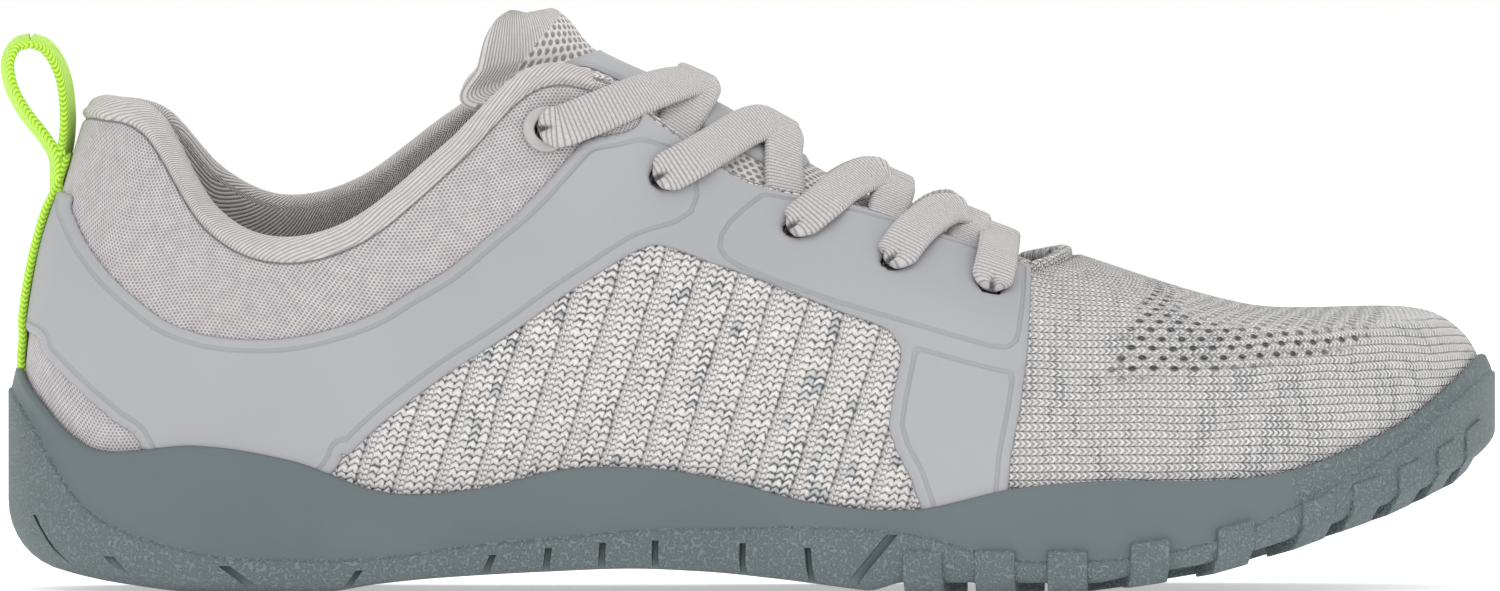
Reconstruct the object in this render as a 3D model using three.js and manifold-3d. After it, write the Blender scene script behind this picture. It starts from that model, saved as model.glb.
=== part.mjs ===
// Barefoot shoe for the right foot: a knitted and padded upper with a welded film cage, on a
// moulded rubber cup sole with forefoot lugs. +X runs to the toe, +Y to the inner (big toe)
// side, +Z up, in millimetres. The floor is z = 0.
import * as THREE from 'three';
import { mergeVertices } from 'three/addons/utils/BufferGeometryUtils.js';
import Module from 'manifold-3d';

// Driving sizes of the shoe
const LENGTH = 280; // heel to toe over the rubber
const BALL_WIDTH = 104; // over the rubber at the ball
const HEEL_HEIGHT = 92; // floor to the top of the collar behind the ankle
const INSTEP_HEIGHT = 99; // floor to the top of the collar in front of the ankle
const RIM_HEIGHT = 42; // floor to the top of the rubber at the back of the heel
const TREAD_LIFT = 4.5; // how far the tread stands off the floor under the arch
const TOE_SPRING = 25; // how far the tread rises at the toe

// Rubber sole
const UNDERFOOT = 4; // rubber under the foot, without the lugs
const LUG_DEPTH = 2.2;
const LUG_PROUD = 0.5; // edge lugs stand out past the side wall by this
const LUG_REACH = 8.5; // edge lugs climb the side wall this far above their tips
const LUG_WIDTH = 7.4;
const LUG_INWARD = 12;
const BLOCK_LENGTH = 8;
const BLOCK_WIDTH = 9.5;
const BLOCK_PITCH = 14.5;
const RIM_LIP = 1.5; // thickness of the rubber at its upper edge
const RIM_WALL = 2.8; // outline of the rubber to the upper inside it
const FEATHER_INSET = 6.5; // outline of the rubber to the lower edge of the upper
const TREAD_STEP = 0.7; // the tread band stands out past the smooth side wall by this
const SIPE_WIDTH = 1.3;
const SIPE_DEPTH = 2.4;
const RIM_HOLLOW = 0.3; // the smooth side wall is hollow by this
const STEP_HALF = 0.35; // half the height over which the tread band steps out

// Upper and what is fixed to it
const WALL = 1.8;
const COLLAR_PAD = 3.8; // foam that the collar adds to the wall
const FIT = 0.3; // gap between neighbouring pieces
const FILM = 0.8; // thickness of the welded cage
const INSOLE_THICKNESS = 3;
const EYELET_HOLE = 4.2; // diameter of the punched lace holes
const RING_DIAMETER = 8.7;
const RING_BORE = 4.5;
const RING_FLANGE = 0.9;
const RING_TUBE = 0.5; // wall of the tube that goes through the collar
const RING_EDGE = 0.4; // bevel of the flange
const PUNCH_LENGTH = 24; // long enough to pass through the wall and the cage
const TONGUE_PAD = 4.2;
const TONGUE_EDGE = 2;
const TONGUE_FIT = 0.6; // tongue to the inner face of the upper
const PATCH_FILM = 0.5;
const PATCH_FIT = 0.45; // film to the bowed face of the tongue
const LACE_WIDTH = 8;
const LACE_THICKNESS = 1.5;
const LACE_EASE = 1.4; // gap between the lace and the film on the tongue
const LACE_AHEAD = 0.35; // rows past a hole at which the lace dips under the throat's edge
const LACE_END = 0.66; // where its crossings end, from the ridge at 0 to the edge at 1
const LACE_OVER = [-0.55, -0.25, 0, 0.35]; // where they pass over the tongue on the way there
const BAR_OVER = [-0.4, 0, 0.4]; // and where the bar does
const TAPE_WIDTH = 10;
const TAPE_THICKNESS = 1.3;
const TAPE_SPLIT = 0.88; // share of the heel's rib at which the loop leaves it

// How finely the forms are divided
const RIBS_PER_ROW = 2;
const LEVELS_ABOVE_RIM = 8;
const LEVELS_IN_RIM = 2;
const CAGE_TOP_SHARE = 0.992; // the cage ends just short of the edge of the throat
const CAGE_LAST_ROW = 14; // and its grid, before it is cut, at this row on each side
const CAP_COLUMNS = 3;
const ROUND_STEPS = 12;

// One row for each rib of the upper, from the back of the heel by the outer side to the toe and
// back by the inner side. along and across place the outline of the rubber, topAlong and
// topAcross the upper edge of the upper: shares of LENGTH and BALL_WIDTH. The height of that
// edge is heelUp of HEEL_HEIGHT plus instepUp of INSTEP_HEIGHT. rimUp and stepUp are the upper
// edge of the rubber and of its tread band, shares of RIM_HEIGHT.
const RING_COLUMNS = [
  'along', 'across', 'topAlong', 'topAcross', 'heelUp', 'instepUp', 'rimUp', 'stepUp',
];
const RING = [
  [0.000, 0.000, 0.053, 0.000, 0.985, 0.000, 0.990, 0.900],
  [0.014, -0.183, 0.064, -0.120, 0.985, 0.000, 0.860, 0.760],
  [0.057, -0.308, 0.096, -0.216, 0.950, 0.000, 0.626, 0.350],
  [0.129, -0.361, 0.136, -0.277, 0.760, 0.000, 0.643, 0.170],
  [0.193, -0.365, 0.183, -0.303, 0.520, 0.162, 0.576, 0.140],
  [0.254, -0.365, 0.239, -0.312, 0.220, 0.480, 0.438, 0.150],
  [0.314, -0.370, 0.300, -0.298, 0.000, 0.825, 0.452, 0.205],
  [0.371, -0.380, 0.354, -0.274, 0.000, 0.970, 0.538, 0.240],
  [0.425, -0.399, 0.400, -0.250, 0.000, 0.960, 0.548, 0.274],
  [0.475, -0.423, 0.438, -0.236, 0.000, 0.884, 0.500, 0.281],
  [0.536, -0.462, 0.493, -0.216, 0.000, 0.778, 0.398, 0.290],
  [0.604, -0.500, 0.564, -0.197, 0.000, 0.732, 0.367, 0.260],
  [0.671, -0.519, 0.629, -0.168, 0.000, 0.670, 0.457, 0.150],
  [0.736, -0.524, 0.677, -0.125, 0.000, 0.618, 0.493, 0.150],
  [0.800, -0.498, 0.687, -0.106, 0.000, 0.622, 0.493, 0.220],
  [0.857, -0.438, 0.695, -0.087, 0.000, 0.628, 0.533, 0.370],
  [0.907, -0.346, 0.700, -0.065, 0.000, 0.634, 0.643, 0.540],
  [0.945, -0.240, 0.704, -0.043, 0.000, 0.639, 0.771, 0.700],
  [0.973, -0.115, 0.706, -0.021, 0.000, 0.642, 0.905, 0.850],
  [0.993, 0.014, 0.707, 0.000, 0.000, 0.644, 1.010, 0.950],
  [1.000, 0.139, 0.7075, 0.014, 0.000, 0.645, 1.035, 0.970],
  [0.994, 0.250, 0.707, 0.029, 0.000, 0.645, 1.010, 0.950],
  [0.973, 0.346, 0.706, 0.050, 0.000, 0.644, 0.917, 0.850],
  [0.939, 0.418, 0.704, 0.072, 0.000, 0.643, 0.762, 0.680],
  [0.893, 0.462, 0.700, 0.094, 0.000, 0.641, 0.619, 0.500],
  [0.839, 0.486, 0.695, 0.115, 0.000, 0.638, 0.536, 0.320],
  [0.786, 0.490, 0.687, 0.135, 0.000, 0.634, 0.500, 0.200],
  [0.736, 0.484, 0.677, 0.154, 0.000, 0.630, 0.488, 0.150],
  [0.671, 0.464, 0.629, 0.192, 0.000, 0.682, 0.464, 0.150],
  [0.604, 0.428, 0.564, 0.216, 0.000, 0.742, 0.417, 0.260],
  [0.536, 0.385, 0.493, 0.236, 0.000, 0.793, 0.452, 0.290],
  [0.475, 0.346, 0.438, 0.250, 0.000, 0.894, 0.536, 0.300],
  [0.425, 0.325, 0.400, 0.264, 0.000, 0.965, 0.595, 0.300],
  [0.371, 0.315, 0.354, 0.279, 0.000, 0.980, 0.595, 0.270],
  [0.314, 0.319, 0.300, 0.298, 0.000, 0.880, 0.548, 0.215],
  [0.254, 0.332, 0.239, 0.312, 0.200, 0.570, 0.476, 0.160],
  [0.193, 0.346, 0.183, 0.303, 0.560, 0.200, 0.571, 0.140],
  [0.129, 0.351, 0.136, 0.277, 0.835, 0.000, 0.643, 0.170],
  [0.057, 0.298, 0.096, 0.216, 0.960, 0.000, 0.626, 0.350],
  [0.014, 0.178, 0.064, 0.120, 0.985, 0.000, 0.860, 0.760],
];

// The bend of the ribs: row is a row of RING. sideUp is where the side wall is fullest, as a
// share of the rib's height, swell how far it stands out there, as a share of BALL_WIDTH. The
// shoulder lies shoulderIn of the way in to the top edge and shoulderUp of the way up to it,
// and crown lifts the stretch between the two by a share of INSTEP_HEIGHT. pad is the share of
// the collar's foam that the rib's top has, and tuck how far the tread draws in under the
// rim, as a share of BALL_WIDTH.
const BEND_COLUMNS = ['row', 'sideUp', 'swell', 'shoulderIn', 'shoulderUp', 'crown', 'pad', 'tuck'];
const BEND = [
  [0, 0.30, 0.000, 0.28, 0.52, 0.000, 1.0, 0.115],
  [2, 0.34, 0.000, 0.36, 0.54, 0.000, 1.0, 0.080],
  [4, 0.34, 0.000, 0.42, 0.55, 0.000, 1.0, 0.045],
  [6, 0.22, 0.000, 0.30, 0.52, 0.000, 1.0, 0.040],
  [8, 0.18, 0.000, 0.26, 0.52, 0.000, 0.6, 0.040],
  [10, 0.18, 0.000, 0.30, 0.55, 0.005, 0.1, 0.040],
  [12, 0.21, 0.000, 0.30, 0.60, 0.012, 0.1, 0.035],
  [14, 0.25, 0.000, 0.24, 0.56, 0.018, 0.2, 0.035],
  [16, 0.28, 0.000, 0.17, 0.48, -0.002, 0.3, 0.032],
  [18, 0.35, 0.000, 0.12, 0.44, -0.030, 0.3, 0.030],
  [20, 0.39, 0.000, 0.10, 0.43, -0.043, 0.3, 0.030],
  [22, 0.35, 0.000, 0.12, 0.46, -0.032, 0.3, 0.030],
  [24, 0.28, 0.000, 0.16, 0.52, -0.006, 0.3, 0.032],
  [26, 0.25, 0.000, 0.23, 0.59, 0.016, 0.2, 0.035],
  [28, 0.22, 0.000, 0.27, 0.61, 0.012, 0.1, 0.035],
  [30, 0.20, 0.000, 0.22, 0.54, 0.005, 0.1, 0.040],
  [32, 0.20, 0.006, 0.10, 0.50, 0.000, 0.6, 0.045],
  [34, 0.24, 0.006, 0.15, 0.50, 0.000, 1.0, 0.045],
  [36, 0.32, 0.002, 0.38, 0.53, 0.000, 1.0, 0.045],
  [38, 0.34, 0.000, 0.36, 0.54, 0.000, 1.0, 0.080],
];

// The tread from the side: arch is a share of TREAD_LIFT, spring a share of TOE_SPRING. The
// heel and the ball each have a flat stretch on the floor.
const TREAD_COLUMNS = ['along', 'arch', 'spring'];
const TREAD = [
  [0.000, 1.60, 0.00],
  [0.050, 0.70, 0.00],
  [0.080, 0.33, 0.00],
  [0.132, 0.00, 0.00],
  [0.210, 0.00, 0.00],
  [0.250, 0.35, 0.00],
  [0.290, 0.60, 0.00],
  [0.360, 0.86, 0.00],
  [0.420, 1.00, 0.00],
  [0.465, 0.90, 0.00],
  [0.520, 0.58, 0.00],
  [0.575, 0.15, 0.00],
  [0.600, 0.00, 0.00],
  [0.725, 0.00, 0.00],
  [0.750, 0.00, 0.05],
  [0.800, 0.00, 0.14],
  [0.857, 0.00, 0.32],
  [0.893, 0.00, 0.46],
  [0.929, 0.00, 0.60],
  [0.957, 0.00, 0.74],
  [0.979, 0.00, 0.88],
  [1.000, 0.00, 1.10],
];
const HEEL_FLAT = 0.17; // middle of the flat stretch under the heel, share of LENGTH
const LUGS_FROM = 0.575; // the lugs start here, and are at full depth at LUGS_FULL
const LUGS_FULL = 0.6;

// Middles of the edge lugs, shares of LENGTH
const EDGE_LUGS = [0.612, 0.66, 0.708, 0.763, 0.82, 0.875, 0.908, 0.938, 0.963, 0.982];

// Thin cuts in the tread's edge: foot and head are shares of LENGTH, headUp of RIM_HEIGHT
const SIPE_COLUMNS = ['foot', 'head', 'headUp'];
const SIPES = [
  [0.090, 0.072, 0.15],
  [0.180, 0.150, 0.10],
  [0.222, 0.238, 0.10],
  [0.312, 0.327, 0.17],
  [0.358, 0.364, 0.20],
  [0.396, 0.400, 0.225],
  [0.433, 0.435, 0.235],
  [0.491, 0.493, 0.225],
  [0.539, 0.536, 0.205],
];

// The cage from the side, in shares of LENGTH and INSTEP_HEIGHT
const POINT_COLUMNS = ['along', 'up'];
const CAGE_TOP = [
  [-0.060, 0.770], [0.036, 0.755], [0.045, 0.718], [0.055, 0.661], [0.070, 0.604],
  [0.086, 0.560], [0.106, 0.516], [0.126, 0.492], [0.146, 0.480], [0.172, 0.476],
  [0.197, 0.482], [0.222, 0.499], [0.248, 0.526], [0.272, 0.567], [0.297, 0.609],
  [0.322, 0.668], [0.348, 0.729], [0.368, 0.790], [0.381, 0.832], [0.391, 0.854],
  [0.421, 0.875], [0.428, 0.940],
];
const CAGE_FRONT = [
  [0.686, 0.940], [0.686, 0.602], [0.682, 0.446], [0.677, 0.345], [0.671, 0.260],
  [0.666, 0.100],
];
const CAGE_REAR = [
  [0.110, 0.100], [0.093, 0.273], [0.073, 0.325], [0.050, 0.382], [0.028, 0.444],
  [0.015, 0.488], [-0.060, 0.520],
];
const WINDOW = [
  [0.222, 0.080], [0.226, 0.249], [0.232, 0.262], [0.256, 0.325], [0.296, 0.410],
  [0.336, 0.482], [0.375, 0.560], [0.409, 0.621], [0.423, 0.643], [0.435, 0.653],
  [0.448, 0.645], [0.479, 0.613], [0.509, 0.583], [0.555, 0.531], [0.586, 0.499],
  [0.595, 0.474], [0.598, 0.450], [0.595, 0.400], [0.590, 0.313], [0.583, 0.080],
];

// Lace holes: row is where they lie along RING on the outer side, down how far below the edge of
// the throat they are punched. The first pair takes the moulded rings.
const HOLE_COLUMNS = ['row', 'down'];
const HOLES = [
  [7.08, 10.5],
  [8.73, 14.0],
  [10.35, 9.75],
  [11.20, 15.0],
  [12.20, 16.8],
];

// Tongue: row pairs the ribs on both sides, crestAlong and crestUp place its ridge, as shares of
// LENGTH and INSTEP_HEIGHT. The rows after the pairs stand free above the collar, with their
// edges at wingAlong, wingAcross and wingUp.
const TONGUE_COLUMNS = ['row', 'crestAlong', 'crestUp'];
const TONGUE = [
  [13.0, 0.688, 0.620],
  [12.4, 0.660, 0.648],
  [11.7, 0.622, 0.690],
  [11.0, 0.583, 0.740],
  [10.3, 0.538, 0.808],
  [9.6, 0.500, 0.876],
  [9.0, 0.464, 0.932],
  [8.3, 0.428, 0.972],
  [7.6, 0.400, 1.008],
];
const TONGUE_TOP_COLUMNS = ['crestAlong', 'crestUp', 'wingAlong', 'wingAcross', 'wingUp'];
const TONGUE_TOP = [
  [0.387, 1.042, 0.340, 0.205, 1.005],
  [0.375, 1.082, 0.332, 0.190, 1.050],
  [0.360, 1.110, 0.330, 0.160, 1.092],
];
const TONGUE_NOSE = [[0.712, 0.572, 0.709, 0.088, 0.558]]; // its front end under the vamp
const TONGUE_TUCK = 6; // how far its edges reach in under the throat
const PATCH_FIRST_LINE = 5; // the film on the tongue covers these lines of it
const PATCH_LAST_LINE = 10;
const RIDGE_ACROSS = 0.014; // the ridge of the instep, share of BALL_WIDTH

// The pull loop above its stitching, in shares of LENGTH and HEEL_HEIGHT
const LOOP = [
  [0.0375, 0.885], [0.0395, 0.925], [0.0400, 0.970], [0.0380, 1.030], [0.0330, 1.075],
  [0.0250, 1.108], [0.0150, 1.120], [0.0050, 1.110], [-0.0005, 1.075], [0.0020, 1.025],
  [0.0105, 0.975], [0.0220, 0.930], [0.0320, 0.893],
];

const wasm = await Module();
wasm.setup();

const rows = (columns, table) =>
  table.map((row) => Object.fromEntries(columns.map((name, k) => [name, row[k]])));
const ringRows = rows(RING_COLUMNS, RING);
const ROWS = ringRows.length;
const TOE_ROW = ROWS / 2;
const RIBS = ROWS * RIBS_PER_ROW;

const vec = (x, y, z) => new THREE.Vector3(x, y, z);
const lerp = THREE.MathUtils.lerp;
const smooth = (value) => THREE.MathUtils.smoothstep(value, 0, 1);

// A smooth curve through values at equal steps that closes on itself
function closedSpline(values, at) {
  const count = values.length;
  const wrapped = ((at % count) + count) % count;
  const index = Math.floor(wrapped);
  const part = wrapped - index;
  const [a, b, c, d] = [-1, 0, 1, 2].map((step) => values[(index + step + count) % count]);
  const slopeStart = (c - a) / 2;
  const slopeEnd = (d - b) / 2;
  const cubed = part ** 3;
  const squared = part ** 2;
  return (
    (2 * cubed - 3 * squared + 1) * b + (cubed - 2 * squared + part) * slopeStart +
    (3 * squared - 2 * cubed) * c + (cubed - squared) * slopeEnd
  );
}

// A curve through rows of [key, value] with no overshoot: flat stretches stay flat
function steadyCurve(keys, values, at) {
  const last = keys.length - 1;
  const key = THREE.MathUtils.clamp(at, keys[0], keys[last]);
  let index = 0;
  while (index < last - 1 && key > keys[index + 1]) index += 1;
  const slope = (k) => (values[k + 1] - values[k]) / (keys[k + 1] - keys[k]);
  const tangent = (k) => {
    if (k === 0 || k === last) return slope(Math.min(k, last - 1));
    const before = slope(k - 1);
    const after = slope(k);
    return before * after <= 0 ? 0 : (2 * before * after) / (before + after);
  };
  const span = keys[index + 1] - keys[index];
  const part = (key - keys[index]) / span;
  const cubed = part ** 3;
  const squared = part ** 2;
  return (
    (2 * cubed - 3 * squared + 1) * values[index] +
    (cubed - 2 * squared + part) * span * tangent(index) +
    (3 * squared - 2 * cubed) * values[index + 1] +
    (cubed - squared) * span * tangent(index + 1)
  );
}

const ringColumn = Object.fromEntries(
  RING_COLUMNS.map((name) => [name, ringRows.map((row) => row[name])]),
);
const ring = (name, at) => closedSpline(ringColumn[name], at);

const bendRows = rows(BEND_COLUMNS, BEND);
const bendColumn = Object.fromEntries(
  BEND_COLUMNS.map((name) => [name, bendRows.map((row) => row[name])]),
);
const bend = (name, at) => closedSpline(bendColumn[name], (at * bendRows.length) / ROWS);

const treadRows = rows(TREAD_COLUMNS, TREAD);
const treadKeys = treadRows.map((row) => row.along);
const treadHeights = treadRows.map((row) => row.arch * TREAD_LIFT + row.spring * TOE_SPRING);
const treadAt = (x) => steadyCurve(treadKeys, treadHeights, x / LENGTH);
const floorAt = (x) => UNDERFOOT + LUG_DEPTH + treadAt(Math.max(x, HEEL_FLAT * LENGTH));

// Outline of the rubber in plan, moved outward by a distance
function outline(at, outward = 0) {
  const place = (p) => vec(ring('along', p) * LENGTH, ring('across', p) * BALL_WIDTH, 0);
  const forward = place(at + 0.05).sub(place(at - 0.05)).normalize();
  return place(at).add(vec(forward.y, -forward.x, 0).multiplyScalar(outward));
}

// One rib of the upper's outer face, from its lower edge to its top edge
const ribs = new Map();
function rib(at) {
  const key = (((at % ROWS) + ROWS) % ROWS).toFixed(4);
  if (ribs.has(key)) return ribs.get(key);
  const foot = outline(at, -FEATHER_INSET);
  foot.z = floorAt(foot.x) + FIT;
  const top = vec(
    ring('topAlong', at) * LENGTH,
    ring('topAcross', at) * BALL_WIDTH,
    ring('heelUp', at) * HEEL_HEIGHT + ring('instepUp', at) * INSTEP_HEIGHT,
  );
  const side = outline(at, bend('swell', at) * BALL_WIDTH - RIM_WALL);
  side.z = lerp(foot.z, top.z, bend('sideUp', at));
  const shoulder = side.clone().lerp(top, bend('shoulderIn', at));
  shoulder.z = lerp(side.z, top.z, bend('shoulderUp', at));
  const crown = shoulder.clone().lerp(top, 0.5);
  crown.z += bend('crown', at) * INSTEP_HEIGHT;
  const curve = new THREE.CatmullRomCurve3([foot, side, shoulder, crown, top], false, 'centripetal');
  ribs.set(key, curve);
  return curve;
}

// A point of the upper's outer face: share runs up the rib, outward leaves the face squarely
const skinPoint = (at, share) => rib(at).getPointAt(THREE.MathUtils.clamp(share, 0, 1));
function skinNormal(at, share) {
  const around = skinPoint(at + 0.1, share).sub(skinPoint(at - 0.1, share));
  const up = skinPoint(at, share + 0.02).sub(skinPoint(at, share - 0.02));
  return around.cross(up).normalize();
}
const skin = (at, share, outward = 0) =>
  skinPoint(at, share).addScaledVector(skinNormal(at, share), outward);

// Share of a rib at which it passes the upper edge of the rubber
const rimShares = new Map();
function rimShare(at) {
  const key = at.toFixed(4);
  if (rimShares.has(key)) return rimShares.get(key);
  const height = ring('rimUp', at) * RIM_HEIGHT;
  let low = 0.02;
  let high = 0.8;
  for (let step = 0; step < 24; step += 1) {
    const middle = (low + high) / 2;
    if (skinPoint(at, middle).z < height) low = middle;
    else high = middle;
  }
  rimShares.set(key, low);
  return low;
}

// Thickness of the upper's wall, which grows into the padded collar
const wallAt = (at, share) =>
  WALL + COLLAR_PAD * Math.max(bend('pad', at), 0) * smooth((share - 0.68) / 0.32);
const inside = (at, share, deeper = 0) => skin(at, share, -wallAt(at, share) - deeper);

// Triangles over a grid of points, each square cut along its shorter diagonal, so that faces a
// small distance apart are cut alike. wrapped joins the last line to the first.
function gridFaces(grid, wrapped = false) {
  const corners = [];
  const lines = wrapped ? grid.length : grid.length - 1;
  for (let i = 0; i < lines; i += 1) {
    const near = grid[i];
    const far = grid[(i + 1) % grid.length];
    for (let j = 0; j < near.length - 1; j += 1) {
      const [a, b, c, d] = [near[j], far[j], far[j + 1], near[j + 1]];
      corners.push(...(a.distanceTo(c) < b.distanceTo(d) ? [a, b, c, a, c, d] : [a, b, d, b, c, d]));
    }
  }
  return corners;
}

const reversed = (corners) => {
  const turned = [];
  for (let k = 0; k < corners.length; k += 3) {
    turned.push(corners[k], corners[k + 2], corners[k + 1]);
  }
  return turned;
};

// A closed band: each profile is a closed loop of points, and the loops follow each other
const closeLoop = (loop) => [...loop, loop[0]];

function geometryOf(corners) {
  const positions = corners.flatMap((corner) => [corner.x, corner.y, corner.z]);
  return new THREE.BufferGeometry().setAttribute(
    'position',
    new THREE.Float32BufferAttribute(positions, 3),
  );
}

// A fan over a flat-ended loop, turned to face away from the rest of the tube
function fan(loop, flipped) {
  const corners = [];
  for (let k = 1; k < loop.length - 1; k += 1) {
    corners.push(...(flipped ? [loop[0], loop[k + 1], loop[k]] : [loop[0], loop[k], loop[k + 1]]));
  }
  return corners;
}
const tubeFaces = (loops) => [
  ...gridFaces(loops.map(closeLoop)),
  ...fan(loops[0], false),
  ...fan(loops[loops.length - 1], true),
];

// A shell between two grids of points that lie over each other
function shellFaces(outer, inner) {
  const first = [outer[0], inner[0]];
  const last = [inner[inner.length - 1], outer[outer.length - 1]];
  const ends = [0, outer[0].length - 1].map(
    (j) => [outer, inner].map((grid) => grid.map((line) => line[j])),
  );
  return [
    ...gridFaces(outer), ...reversed(gridFaces(inner)),
    ...reversed(gridFaces(first)), ...reversed(gridFaces(last)),
    ...gridFaces(ends[0]), ...reversed(gridFaces(ends[1])),
  ];
}

// three.js geometry to a solid and back
function solidOf(geometry) {
  const bare = geometry.clone();
  bare.deleteAttribute('normal');
  bare.deleteAttribute('uv');
  const merged = mergeVertices(bare, 1e-4);
  const whole = merged.index.array;
  const kept = [];
  for (let k = 0; k < whole.length; k += 3) {
    const [a, b, c] = [whole[k], whole[k + 1], whole[k + 2]];
    if (a !== b && b !== c && c !== a) kept.push(a, b, c);
  }
  const build = (triVerts) => new wasm.Manifold(new wasm.Mesh({
    numProp: 3, vertProperties: merged.attributes.position.array, triVerts,
  }));
  const solid = build(new Uint32Array(kept));
  if (solid.volume() > 0) return solid;
  return build(new Uint32Array(kept).reverse());
}
const solidFrom = (corners) => solidOf(geometryOf(corners));

function geometryFrom(solid) {
  const mesh = solid.getMesh();
  const positions = new Float32Array(mesh.numVert * 3);
  for (let k = 0; k < mesh.numVert; k += 1) {
    for (let axis = 0; axis < 3; axis += 1) {
      positions[k * 3 + axis] = mesh.vertProperties[k * mesh.numProp + axis];
    }
  }
  const geometry = new THREE.BufferGeometry();
  geometry.setAttribute('position', new THREE.BufferAttribute(positions, 3));
  geometry.setIndex(new THREE.BufferAttribute(new Uint32Array(mesh.triVerts), 1));
  const flat = geometry.toNonIndexed();
  flat.computeVertexNormals();
  return flat;
}

// The largest body of a solid: cuts can leave slivers with no volume beside it
const mainBody = (solid) =>
  solid.decompose().reduce((best, body) => (body.volume() > best.volume() ? body : best));

const shoe = new THREE.Group();
function addPiece(name, solid, color, roughness) {
  const material = new THREE.MeshStandardMaterial({ color, roughness, metalness: 0 });
  const mesh = new THREE.Mesh(geometryFrom(solid), material);
  mesh.name = name;
  shoe.add(mesh);
}

// Levels of a rib's grid: the first ones lie inside the rubber, and the rest above it
function levels(at) {
  const rim = rimShare(at);
  const low = Array.from({ length: LEVELS_IN_RIM + 1 }, (_, k) => (rim * k) / LEVELS_IN_RIM);
  const high = Array.from(
    { length: LEVELS_ABOVE_RIM },
    (_, k) => lerp(rim, 1, (k + 1) / LEVELS_ABOVE_RIM),
  );
  return [...low, ...high];
}
const ribPlaces = Array.from({ length: RIBS }, (_, k) => k / RIBS_PER_ROW);

// A cylinder with its axis square to the upper at a place, for holes and rings
function acrossWall(geometry, at, share, outward = 0) {
  const normal = skinNormal(at, share);
  const turn = new THREE.Quaternion().setFromUnitVectors(vec(0, 1, 0), normal);
  const place = skin(at, share, outward);
  return geometry.clone().applyMatrix4(
    new THREE.Matrix4().compose(place, turn, vec(1, 1, 1)),
  );
}
const holeRows = rows(HOLE_COLUMNS, HOLES);
const holeShare = (at, down) => 1 - down / rib(at).getLength();
const holePlaces = holeRows.flatMap(({ row, down }, pair) =>
  [row, ROWS - row].map((at) => ({ pair, at, share: holeShare(at, down) })));
const punch = new THREE.CylinderGeometry(EYELET_HOLE / 2, EYELET_HOLE / 2, PUNCH_LENGTH, ROUND_STEPS);
const ringTube = RING_BORE / 2 + RING_TUBE;
const ringPunch = new THREE.CylinderGeometry(ringTube + FIT, ringTube + FIT, PUNCH_LENGTH, ROUND_STEPS);
const holeCutters = holePlaces.map(({ pair, at, share }) =>
  solidOf(acrossWall(pair === 0 ? ringPunch : punch, at, share)));

// Upper: a band with a padded, rounded top edge, open at the collar and throat and underneath.
// onRoll is a place on that edge, from 0 degrees on the outer face to 180 on the inner one.
function onRoll(at, degrees, outward = 0) {
  const angle = THREE.MathUtils.degToRad(degrees);
  const middle = skin(at, 1).lerp(inside(at, 1), 0.5);
  const edge = skinPoint(at + 0.1, 1).sub(skinPoint(at - 0.1, 1)).normalize();
  const rise = skinNormal(at, 1).cross(edge).normalize();
  const out = skinNormal(at, 1).multiplyScalar(Math.cos(angle)).addScaledVector(rise, Math.sin(angle));
  return { place: middle.addScaledVector(out, wallAt(at, 1) / 2 + outward), out };
}
function upperLoop(at) {
  const shares = levels(at);
  const last = shares.length - 1;
  const outer = shares.map((share) => skin(at, share));
  const inner = shares.filter((_, k) => k <= LEVELS_IN_RIM || k % 2 === last % 2)
    .map((share) => inside(at, share));
  return [...outer, ...[45, 90, 135].map((degrees) => onRoll(at, degrees).place), ...inner.reverse()];
}

let upper = solidFrom(gridFaces(ribPlaces.map((at) => closeLoop(upperLoop(at))), true));
for (const cutter of holeCutters) upper = upper.subtract(cutter);
addPiece('upper', upper, 0xcac6c3, 0.9);

// Cage: a film over the upper from the throat to the rubber, cut to its outline from the side
function cageLine(at, outward) {
  const start = rimShare(at) + (FIT + RIM_LIP * 0.6) / rib(at).getLength();
  const shares = [start, ...levels(at).slice(LEVELS_IN_RIM + 1, -1), CAGE_TOP_SHARE];
  return shares.map((share) => skin(at, share, outward));
}
const cageSteps = ribPlaces.filter((at) => at <= CAGE_LAST_ROW).length;
const cagePlaces = Array.from(
  { length: cageSteps * 2 - 1 },
  (_, k) => (k - cageSteps + 1) / RIBS_PER_ROW,
);
const fromSide = (table) => rows(POINT_COLUMNS, table).map(
  ({ along, up }) => new THREE.Vector2(along * LENGTH, up * INSTEP_HEIGHT),
);
function sidePrism(points) {
  const depth = BALL_WIDTH * 2;
  const geometry = new THREE.ExtrudeGeometry(new THREE.Shape(points), { depth, bevelEnabled: false });
  geometry.translate(0, 0, -depth / 2);
  geometry.rotateX(Math.PI / 2);
  return solidOf(geometry);
}
const cageOutline = sidePrism(fromSide([...CAGE_TOP, ...CAGE_FRONT, ...CAGE_REAR]));
const cageGrid = (outward) => cagePlaces.map((at) => cageLine(at, outward));
let cage = solidFrom(shellFaces(cageGrid(FIT + FILM), cageGrid(FIT)))
  .intersect(cageOutline)
  .subtract(sidePrism(fromSide(WINDOW)));
for (const cutter of holeCutters.slice(2)) cage = cage.subtract(cutter);
addPiece('cage', cage, 0xb1b4b6, 0.55);

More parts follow.
